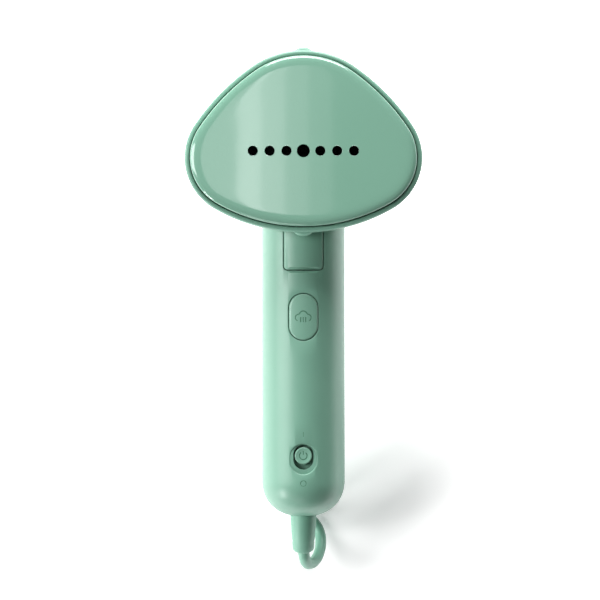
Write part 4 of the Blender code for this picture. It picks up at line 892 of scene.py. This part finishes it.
def hole_rim_tree():
    """A row of seven thin beads, the middle one larger."""
    tree, sizes = new_tree("hole_rims", (
        "Pitch", "Radius", "Middle Scale", "Bead", "Row Y", "Height", "Finish"))
    start = combined(tree, scaled(tree, sizes["Pitch"], -3.0), sizes["Row Y"], sizes["Height"])
    row = add(tree, "GeometryNodeMeshLine", {
        "Count": 7, "Start Location": start, "Offset": combined(tree, sizes["Pitch"])}, mode="OFFSET")
    rim = add(tree, "GeometryNodeCurvePrimitiveCircle", {"Resolution": 48, "Radius": sizes["Radius"]})
    bead = add(tree, "GeometryNodeCurvePrimitiveCircle", {"Resolution": 10, "Radius": sizes["Bead"]})
    tube = add(tree, "GeometryNodeCurveToMesh", {"Curve": rim.outputs[0], "Profile Curve": bead.outputs[0]})
    index = add(tree, "GeometryNodeInputIndex").outputs[0]
    middle = add(tree, "FunctionNodeCompare", {2: index, 3: 3}, data_type="INT", operation="EQUAL")
    size = add(tree, "GeometryNodeSwitch", {
        "Switch": middle.outputs[0], "False": 1.0, "True": sizes["Middle Scale"]}, input_type="FLOAT")
    across = combined(tree, size.outputs[0], size.outputs[0], 1.0)
    rims = add(tree, "GeometryNodeInstanceOnPoints", {
        "Points": row.outputs[0], "Instance": tube.outputs[0], "Scale": across})
    return close_tree(tree, rims.outputs[0], sizes["Finish"])


def screw_tree():
    """A cross-recess screw at each point, its head downwards and its shank up +Z."""
    tree, sizes = new_tree("screws", ("Head Radius", "Head Height", "Shank Radius", "Length", "Finish"))
    head = add(tree, "GeometryNodeMeshCylinder", {
        "Vertices": 40, "Radius": sizes["Head Radius"], "Depth": sizes["Head Height"]})
    raised = add(tree, "GeometryNodeTransform", {
        "Geometry": head.outputs[0],
        "Translation": combined(tree, z=scaled(tree, sizes["Head Height"], 0.5))})
    slots = []
    for wide, narrow in ((1.25, 0.22), (0.22, 1.25)):
        bar = add(tree, "GeometryNodeMeshCube", {"Size": combined(
            tree, scaled(tree, sizes["Head Radius"], wide), scaled(tree, sizes["Head Radius"], narrow),
            sizes["Head Height"])})
        slots.append(bar.outputs[0])
    recess = add(tree, "GeometryNodeMeshBoolean", {"Mesh 2": slots[0]}, operation="UNION", solver="EXACT")
    tree.links.new(slots[1], recess.inputs["Mesh 2"])
    sunk = add(tree, "GeometryNodeMeshBoolean", {"Mesh 1": raised.outputs[0], "Mesh 2": recess.outputs[0]},
               operation="DIFFERENCE", solver="EXACT")
    shank = add(tree, "GeometryNodeMeshCylinder", {
        "Vertices": 24, "Radius": sizes["Shank Radius"], "Depth": sizes["Length"]})
    placed = add(tree, "GeometryNodeTransform", {
        "Geometry": shank.outputs[0], "Translation": combined(tree, z=scaled(tree, sizes["Length"], 0.56))})
    screw = add(tree, "GeometryNodeMeshBoolean", {
        "Mesh 2": sunk.outputs[0]}, operation="UNION", solver="EXACT")
    tree.links.new(placed.outputs[0], screw.inputs["Mesh 2"])
    screws = add(tree, "GeometryNodeInstanceOnPoints", {
        "Points": sizes["Geometry"], "Instance": screw.outputs[0]})
    return close_tree(tree, screws.outputs[0], sizes["Finish"])


def rib_tree():
    """Fine grip ribs in a circle about the Y axis, each a slim round rod along it."""
    tree, sizes = new_tree("grip_ribs", (
        "Count", "Ring Radius", "Rib Radius", "Length", "Middle Y", "Middle Z", "Finish"))
    ring = add(tree, "GeometryNodeMeshCircle", {"Vertices": sizes["Count"], "Radius": sizes["Ring Radius"]})
    rib = add(tree, "GeometryNodeMeshCylinder", {
        "Vertices": 10, "Radius": sizes["Rib Radius"], "Depth": sizes["Length"]})
    ribs = add(tree, "GeometryNodeInstanceOnPoints", {"Points": ring.outputs[0], "Instance": rib.outputs[0]})
    turned_over = add(tree, "GeometryNodeTransform", {
        "Geometry": ribs.outputs[0], "Rotation": (math.radians(90), 0, 0),
        "Translation": combined(tree, y=sizes["Middle Y"], z=sizes["Middle Z"])})
    return close_tree(tree, turned_over.outputs[0], sizes["Finish"])


SCREW_TREE = screw_tree()


# ---------------------------------------------------------------- tank and cap

def tank_rings(grow, front):
    """The tank's outer form, or its inside when grow is minus the wall."""
    edge = TANK_EDGE_RADIUS + grow
    rings = []
    for i in range(9):
        a = math.radians(90 * i / 8)
        rings.append(at_height(
            scaled_outline(BACK_SCALE, -grow + edge * (1 - math.sin(a))), -grow + edge * (1 - math.cos(a))))
    for share in (0.5, 1.0):
        z = rings[8][0][2] + (front - rings[8][0][2]) * share
        rings.append(at_height(scaled_outline(BACK_SCALE, -grow), z))
    return rings


TANK_TOP_Y = max(y for _, y in scaled_outline(BACK_SCALE))
CAP_SEAT_Y = TANK_TOP_Y - CAP_SEAT_DEPTH


def make_tank():
    """Clear tank with a hollow room, a recess for the cap, and a shallow pocket in its front."""
    pocket = TANK_FRONT_Z - 2.5 * MM
    below = SHELF_TOP_Y + TANK_GAP
    above = TANK_TOP_Y + 0.01
    tank = lofted("tank_shell", tank_rings(0.0, TANK_FRONT_Z), TANK_CLEAR)
    recess = CAP_RADIUS + 1.2 * MM
    hinge_room = 2.5 * MM
    edge = recess + TANK_WALL
    ceiling = CAP_SEAT_Y - TANK_WALL
    carve(
        tank,
        prism("pocket", scaled_outline(BACK_SCALE, 3.0 * MM), pocket, TANK_FRONT_Z + 5 * MM, "Z", TANK_CLEAR),
        block("under", (-0.12, 0, -0.01), (0.12, below, 0.06), TANK_CLEAR),
        block(
            "recess", (-recess, CAP_SEAT_Y, CAP_Z - recess - hinge_room), (recess, above, CAP_Z + recess),
            TANK_CLEAR))
    inside = lofted("room", tank_rings(-TANK_WALL, pocket - TANK_WALL), TANK_CLEAR)
    carve(
        inside,
        block("floor", (-0.12, 0, -0.01), (0.12, below + TANK_WALL, 0.06), TANK_CLEAR),
        block("walls", (-edge, ceiling, CAP_Z - edge - hinge_room), (edge, above, CAP_Z + edge), TANK_CLEAR))
    carve(
        tank, inside,
        rod("filler_hole", 8 * MM, (0, ceiling - 3 * MM, CAP_Z), 12 * MM, "Y", TANK_CLEAR),
        rod("outlet_hole", VALVE_RADIUS + 0.3 * MM, (0, below - 3 * MM, VALVE_Z), 9 * MM, "Y", TANK_CLEAR))
    tidy(tank, 30)
    return mount(tank, "tank", "tank_clear", "water_tank")


def make_cap():
    """Vinyl filler cap: a chamfered disc with a finger bar, a tapered stopper, and a hinge barrel."""
    seat = CAP_SEAT_Y + 0.3 * MM
    hinge_z = CAP_Z - CAP_RADIUS - 1.2 * MM
    middle_y = seat + CAP_THICKNESS / 2
    disc = turned("cap_disc", (
        (7.0 * MM, -3.0 * MM), (7.15 * MM, -2.6 * MM), (7.5 * MM, 0.0), (10.4 * MM, 0.0),
        (10.8 * MM, 0.15 * MM), (10.8 * MM, 2.0 * MM), (10.55 * MM, 2.4 * MM), (10.0 * MM, 2.6 * MM),
        (9.0 * MM, 2.6 * MM), (8.6 * MM, 2.2 * MM), (3.0 * MM, 2.1 * MM), (0.2 * MM, 2.1 * MM)),
        (0, seat, CAP_Z), "Y", MINT_VINYL)
    arm_high = (4 * MM, seat + CAP_THICKNESS - 0.2 * MM, CAP_Z - 9.4 * MM)
    arm = block("arm", (-4 * MM, seat, hinge_z), arm_high, MINT_VINYL)
    barrel = rod("barrel", CAP_THICKNESS / 2, (-4 * MM, middle_y, hinge_z), 8 * MM, "X", MINT_VINYL, sides=40)
    bar_outline = rounded_rectangle((-7.0 * MM, CAP_Z - 1.4 * MM), (7.0 * MM, CAP_Z + 1.4 * MM), 1.3 * MM)
    bar = prism("bar", bar_outline, seat + 1.6 * MM, seat + CAP_THICKNESS + 0.3 * MM, "Y", MINT_VINYL)
    fuse(disc, arm, barrel, bar)
    carve(disc, rod("pin_hole", 0.8 * MM, (-9 * MM, middle_y, hinge_z), 18 * MM, "X", MINT_VINYL, sides=24))
    disc.name = "filler_cap_moulding"
    tidy(disc, 32)
    mount(disc, "cap", "mint_vinyl", "filler_cap")
    ribs = apply_tree("filler_cap_ribs", rib_tree(), [], {
        "Count": 40, "Ring Radius": 10.75 * MM, "Rib Radius": 0.3 * MM, "Length": 1.6 * MM,
        "Middle Y": seat + 1.1 * MM, "Middle Z": CAP_Z, "Finish": MINT_VINYL})
    return mount(ribs, "cap", "mint_vinyl")


# ---------------------------------------------------------------- handle

def handle_rings(wall):
    """The handle's round rings down to its dome, or those of its inside."""
    radius = HANDLE_RADIUS - wall
    dome_start = HANDLE_END_Y + DOME_LENGTH
    length = DOME_LENGTH - wall
    top = PIVOT_Y + radius
    straight = [y for y in (top - 12 * MM * i for i in range(13)) if y > dome_start + 4 * MM]
    stations = [(y, radius) for y in (top + 2 * MM, *straight)]
    last_share = 0.992
    for i in range(25):
        share = math.sin(math.pi / 2 * i / 24) * last_share
        narrowed = radius * (1 - share ** DOME_POWER) ** (1 / DOME_POWER)
        stations.append((dome_start - length * share / last_share, narrowed))
    rings = []
    for y, reach in stations:
        rings.append([
            (reach * math.cos(math.tau * i / 144), y, HANDLE_Z + reach * math.sin(math.tau * i / 144))
            for i in range(144)])
    return rings


def handle_form(name, wall):
    """The handle's whole round form, whose top end is round about the hinge axis."""
    made = lofted(name, handle_rings(wall), MINT_ABS)
    radius = HANDLE_RADIUS - wall + 0.15 * MM
    far = radius + 6 * MM
    corner = [(PIVOT_Y, -far), (PIVOT_Y + far, -far), (PIVOT_Y + far, far), (PIVOT_Y, far)]
    for i in range(65):
        angle = math.pi / 2 - math.pi * i / 64
        corner.append((PIVOT_Y + radius * math.cos(angle), radius * math.sin(angle)))
    corner = [(y, z + HANDLE_Z) for y, z in corner]
    return carve(made, prism("end", corner, -far, far, "X", MINT_ABS))


def stadium_at(width, length, y):
    """An oblong on the handle's middle line, as a function of how much it has grown."""
    return lambda growth: stadium(width + 2 * growth, length + 2 * growth, (0, y))


def handle_half(name, side):
    """One half of the shell: side 1 is the front, above the middle plane, and -1 the back."""
    shell = handle_form(name, 0.0)
    if side > 0:
        carve(shell, lipped("slot", tongue_outline(SHADOW_GAP), HANDLE_Z - 0.06, 0.14 * MM, MINT_ABS))
    else:
        half = TONGUE_WIDTH / 2 + SHADOW_GAP
        outline = rounded_rectangle((-half, PIVOT_Y - TONGUE_DROP - SHADOW_GAP), (half, 0.2), 0.2 * MM)
        carve(shell, prism("slot", outline, HANDLE_Z - 0.06, HANDLE_Z + 0.06, "Z", MINT_ABS))
    near = HANDLE_Z + side * 0.15 * MM
    low, high = sorted((near, HANDLE_Z - side * 0.06))
    carve(shell, block("other_half", (-0.06, -0.2, low), (0.06, 0.2, high), MINT_ABS))
    carve(shell, handle_form("inside", HANDLE_WALL))
    start = (0, HANDLE_END_Y - 5 * MM, HANDLE_Z)
    return carve(shell, rod("boot_hole", BOOT_RADII[0] + 0.3 * MM, start, 12 * MM, "Y", MINT_ABS, sides=96))


def groove(points, radius, closed=False):
    """A cutter along points for a round-bottomed groove, which leaves the mark's ink in it."""
    curve = bpy.data.curves.new("groove", "CURVE")
    curve.dimensions = "3D"
    curve.bevel_depth = radius
    curve.bevel_resolution = 3
    curve.use_fill_caps = True
    spline = curve.splines.new("POLY")
    spline.points.add(len(points) - 1)
    for knot, point in zip(spline.points, points):
        knot.co = (*point, 1)
    spline.use_cyclic_u = closed
    curve.materials.append(MARK_INK)
    guide = bpy.data.objects.new("groove_line", curve)
    bpy.context.scene.collection.objects.link(guide)
    bpy.context.view_layer.update()
    mesh = bpy.data.meshes.new_from_object(guide.evaluated_get(bpy.context.evaluated_depsgraph_get()))
    bpy.data.objects.remove(guide)
    bm = bmesh.new()
    bm.from_mesh(mesh)
    bmesh.ops.remove_doubles(bm, verts=bm.verts, dist=1e-6)
    bmesh.ops.recalc_face_normals(bm, faces=bm.faces)
    bm.to_mesh(mesh)
    bm.free()
    cutter = bpy.data.objects.new("groove", mesh)
    bpy.context.scene.collection.objects.link(cutter)
    return cutter


def make_handle_front():
    shell = handle_half("handle_front_shell", 1)
    low = HANDLE_Z + HANDLE_RADIUS / 2
    floor = HANDLE_Z + HANDLE_RADIUS - 1.3 * MM
    carve(
        shell,
        lipped("trigger_opening", stadium_at(*TRIGGER_OPENING, TRIGGER_Y), low, 0.45 * MM, MINT_ABS),
        lipped("dish", stadium_at(*DISH, DISH_Y), floor, 0.7 * MM, MINT_ABS),
        prism("slider_opening", stadium(*SLIDER_OPENING, (0, SLIDER_OPENING_Y)), low, 0.08, "Z", MINT_ABS))
    raised = 0.02 * MM
    on_mark = [(0, y, surface_z(0) + raised) for y in ON_MARK_Y]
    off_mark = []
    for i in range(28):
        turn = math.tau * i / 28
        x = OFF_MARK_RADIUS * math.cos(turn)
        off_mark.append((x, OFF_MARK_Y + OFF_MARK_RADIUS * math.sin(turn), surface_z(x) + raised))
    carve(shell, groove(on_mark, 0.22 * MM), groove(off_mark, 0.24 * MM, closed=True))
    tidy(shell, 30)
    return mount(shell, "handle", "mint_housing", "handle_front")


def make_handle_back():
    shell = handle_half("handle_back_shell", -1)
    outside = HANDLE_Z - HANDLE_RADIUS - 1 * MM
    seat = HANDLE_Z - HANDLE_RADIUS + 6.5 * MM
    for y in HANDLE_SCREWS_Y:
        fuse(shell, rod("boss", 4.6 * MM, (0, y, outside + 2.2 * MM), 12 * MM, "Z", MINT_ABS, sides=48))
        carve(
            shell,
            turned("counterbore", (
                (4.0 * MM, outside), (3.7 * MM, outside + 0.9 * MM), (3.1 * MM, outside + 1.6 * MM),
                (3.1 * MM, seat)), (0, y, 0), "Z", MINT_ABS, sides=48),
            rod("bore", SCREW_HOLE_RADIUS, (0, y, outside), 0.03, "Z", MINT_ABS, sides=32))
    make_screws(
        "handle_screws", [(0, y, seat - SCREW_RECESS) for y in HANDLE_SCREWS_Y], 22 * MM, "handle",
        "handle_screw_upper", "handle_screw_lower")
    tidy(shell, 30)
    return mount(shell, "handle", "mint_housing", "handle_back")


def make_trigger():
    """Steam button: a rolled edge, a face flatter than the handle, and a moulded cloud of steam."""
    width, length = (size - 2 * SHADOW_GAP for size in TRIGGER_OPENING)
    face_radius = 24 * MM
    crown = HANDLE_Z + HANDLE_RADIUS + 0.55 * MM

    def face_z(x, y):
        flat = crown - face_radius + math.sqrt(face_radius ** 2 - x ** 2)
        return flat - 0.45 * MM * ((y - TRIGGER_Y) / (length / 2)) ** 2

    rings = []
    for grow, z in ((3.0, 64.8), (3.0, 66.3), (0.0, 66.4)):
        outline = stadium(width + grow * MM, length + grow * MM, (0, TRIGGER_Y))
        rings.append(at_height(outline, z * MM))
    roll = 0.85 * MM
    for angle in (0, 18, 36, 54, 70):
        a = math.radians(angle)
        inset = roll * (1 - math.cos(a))
        outline = stadium(width - 2 * inset, length - 2 * inset, (0, TRIGGER_Y))
        rings.append([(x, y, face_z(x, y) - roll * (1 - math.sin(a)) * 0.9) for x, y in outline])
    for inset in (0.85, 1.3, 2.2, 3.4, 4.8, 6.2, 7.3):
        outline = stadium(width - 2 * inset * MM, length - 2 * inset * MM, (0, TRIGGER_Y))
        rings.append([(x, y, face_z(x, y)) for x, y in outline])
    trigger = lofted("steam_button", rings, BUTTON_ABS)
    cloud = []
    puffs = ((-2.5, -8.0, 1.75, 250, 85), (0.0, -6.5, 2.05, 152, 28), (2.5, -8.0, 1.75, 95, -70))
    for x, y, radius, first, last in puffs:
        for i in range(9):
            a = math.radians(first + (last - first) * i / 8)
            cloud.append((x + radius * math.cos(a), y + radius * math.sin(a)))
    strokes = [cloud] + [[(x, -7.6), (x, -10.4)] for x in (-1.35, 0.0, 1.35)]
    for stroke in strokes:
        line = [(x * MM, y * MM, face_z(x * MM, y * MM) + 0.05 * MM) for x, y in stroke]
        carve(trigger, groove(line, CLOUD_GROOVE))
    tidy(trigger, 28)
    return mount(trigger, "trigger", "mint_trigger", "steam_trigger")


def make_slider():
    """Power slider: a plate under the handle's opening, and a round button with its standby mark."""
    plate_top = HANDLE_Z + HANDLE_RADIUS - HANDLE_WALL - 2.2 * MM
    reach = SLIDER_OPENING[1] / 2 + 3.6 * MM
    half = 7.6 * MM
    slider = prism(
        "standby_slider", rounded_rectangle((-half, SLIDER_Y - reach), (half, SLIDER_Y + reach), 2 * MM),
        plate_top - 1.5 * MM, plate_top, "Z", BUTTON_ABS)
    top = HANDLE_Z + HANDLE_RADIUS - 0.5 * MM
    roll = 0.5 * MM
    profile = [(SLIDER_RADIUS, plate_top - 1 * MM)]
    for angle in (0, 20, 40, 60, 80):
        a = math.radians(angle)
        profile.append((SLIDER_RADIUS - roll * (1 - math.cos(a)), top - roll * (1 - math.sin(a))))
    for radius, sunk in ((3.85, 0.0), (3.6, 0.05), (3.3, 0.14), (2.0, 0.22), (0.1, 0.25)):
        profile.append((radius * MM, top - sunk * MM))
    fuse(slider, turned("button", profile, (0, SLIDER_Y, 0), "Z", BUTTON_ABS))
    arc = []
    arc_radius = 2.05 * MM
    for i in range(25):
        a = math.radians(125 + 290 * i / 24)
        arc.append((arc_radius * math.cos(a), SLIDER_Y + arc_radius * math.sin(a), top - 0.17 * MM))
    bar = [(0, SLIDER_Y + 0.5 * MM, top - 0.17 * MM), (0, SLIDER_Y + 2.6 * MM, top - 0.12 * MM)]
    carve(slider, groove(arc, MARK_GROOVE), groove(bar, MARK_GROOVE))
    tidy(slider, 28)
    return mount(slider, "slider", "mint_slider", "power_slider")


make_bezel()
make_steam_plate()
make_rear_housing()
make_neck()
make_hole_rims()
make_screws(
    "head_screws", [(x, y, BAY_FLOOR_Z - SCREW_RECESS) for x, y in HEAD_SCREWS], 18 * MM, "head",
    "head_screw_left", "head_screw_right", "head_screw_top")
make_tank()
make_cap()
make_handle_front()
make_handle_back()
make_trigger()
make_slider()


# ---------------------------------------------------------------- CAD parts that keep their shape

KEPT = (
    (ZINC_STEEL, "hinge_yoke hinge_pin pin_clip cord_clamp trigger_spring_upper trigger_spring_lower"
                 " heating_element boiler_bracket thermal_fuse cap_pin"),
    # The chamber behind the steam holes takes the painted hole shade.
    (HOLE_PAINTED_SHADE, "steam_chamber"),
    (RED_SILICONE, "plate_gasket valve_ring"),
    (CLEAR_SILICONE, "tank_hose boiler_hose"),
    (BLACK_NYLON, "trigger_microswitch power_switch thermostat water_pump valve_seat tank_valve"
                  " wire_live wire_neutral"),
    (GREEN_BOARD, "circuit_board"),
    (TINNED_BRASS, "plug_blade_left plug_blade_right"),
)
for finish, names in KEPT:
    for node_name in names.split():
        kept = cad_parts[node_name]
        kept.data.materials.clear()
        kept.data.materials.append(finish)


# ---------------------------------------------------------------- floor and lights

# Centre, turn and stretch of the floor's painted shadow, an oblong of weaker glow.
SHADE_CENTRE = (0.038, -0.128, 0.0)
SHADE_TURN = math.radians(-36)
SHADE_SCALE = (6.6, 18.0, 0.0)
STRIP_Y = 0.111
STRIP_HEIGHT = 0.5
STRIP_LENGTH = 0.14
STRIP_SPREAD = 60


def make_floor():
    """White floor lit a little from within, with a painted shadow: less glow in an oblong beside the cord's
    bend.
    """
    made = bpy.data.materials.new("white_studio_sweep")
    made.use_nodes = True
    shader = made.node_tree.nodes["Principled BSDF"]
    shader.inputs["Base Color"].default_value = linear("F4F4F4")
    shader.inputs["Roughness"].default_value = 0.7
    shader.inputs["Emission Color"].default_value = (1, 1, 1, 1)
    tree = made.node_tree
    place = add(tree, "ShaderNodeTexCoord").outputs["Object"]
    away = add(tree, "ShaderNodeVectorMath", {0: place, 1: SHADE_CENTRE}, operation="SUBTRACT")
    turned_away = add(tree, "ShaderNodeVectorRotate", {
        "Vector": away.outputs[0], "Angle": SHADE_TURN}, rotation_type="Z_AXIS")
    oblong = add(tree, "ShaderNodeVectorMath", {
        0: turned_away.outputs[0], 1: SHADE_SCALE}, operation="MULTIPLY")
    reach = add(tree, "ShaderNodeVectorMath", {0: oblong.outputs[0]}, operation="LENGTH")
    # The glow falls to nearly nothing in the oblong: a painted shadow beside the cord's bend.
    glow = add(tree, "ShaderNodeMapRange", {
        "Value": reach.outputs["Value"], "From Min": 0.0, "From Max": 1.6, "To Min": 0.14, "To Max": 1.45},
        interpolation_type="SMOOTHSTEP")
    tree.links.new(glow.outputs[0], shader.inputs["Emission Strength"])
    half, low = 4, -0.0003
    mesh = bpy.data.meshes.new("floor")
    mesh.from_pydata(
        [(-half, -half, low), (half, -half, low), (half, half, low), (-half, half, low)], [], [(0, 1, 2, 3)])
    mesh.materials.append(made)
    floor = bpy.data.objects.new("floor", mesh)
    bpy.context.scene.collection.objects.link(floor)


def softbox(name, place, target, size, power, spread=180):
    """A rectangular area light aimed at a target, unseen by the camera."""
    data = bpy.data.lights.new(name, "AREA")
    data.shape = "RECTANGLE"
    data.size, data.size_y = size
    data.energy = power
    data.spread = math.radians(spread)
    light = bpy.data.objects.new(name, data)
    light.location = place
    light.rotation_mode = "QUATERNION"
    light.rotation_quaternion = (Vector(target) - Vector(place)).to_track_quat("-Z", "Y")
    light.visible_camera = False
    bpy.context.scene.collection.objects.link(light)


make_floor()
softbox("key", (-1.15, 0.12, 0.85), (0, 0, 0.05), (0.6, 1.1), 18.5)
softbox("top", (0.05, 1.20, 0.52), (0, 0, 0.05), (1.1, 0.6), 31.0)
softbox("low_front", (-0.25, -1.10, 0.60), (0, -0.10, 0.04), (0.5, 0.4), 1.6)
softbox("low_left", (-0.60, -0.50, 0.30), (0.03, -0.13, 0.0), (0.20, 0.20), 3.0)
# Narrow strips whose reflections make the bands across the glossy plate.
for i, (left, right, power) in enumerate((
        (-45.1, -28.7, 0.0036), (-45.1, -12.3, 0.0046), (-45.1, 4.1, 0.0035), (-45.1, 20.5, 0.0021),
        (-85.0, -45.1, 0.0036))):
    middle = (left + right) / 2 * MM
    softbox(
        f"plate_strip_{i}", (middle, STRIP_Y, STRIP_HEIGHT), (middle, STRIP_Y, 0.0),
        ((right - left) * MM, STRIP_LENGTH), power, STRIP_SPREAD)

world = bpy.data.worlds.new("studio")
world.use_nodes = True
world.node_tree.nodes["Background"].inputs["Color"].default_value = linear("F7F9F8")
world.node_tree.nodes["Background"].inputs["Strength"].default_value = 0.08
bpy.context.scene.world = world
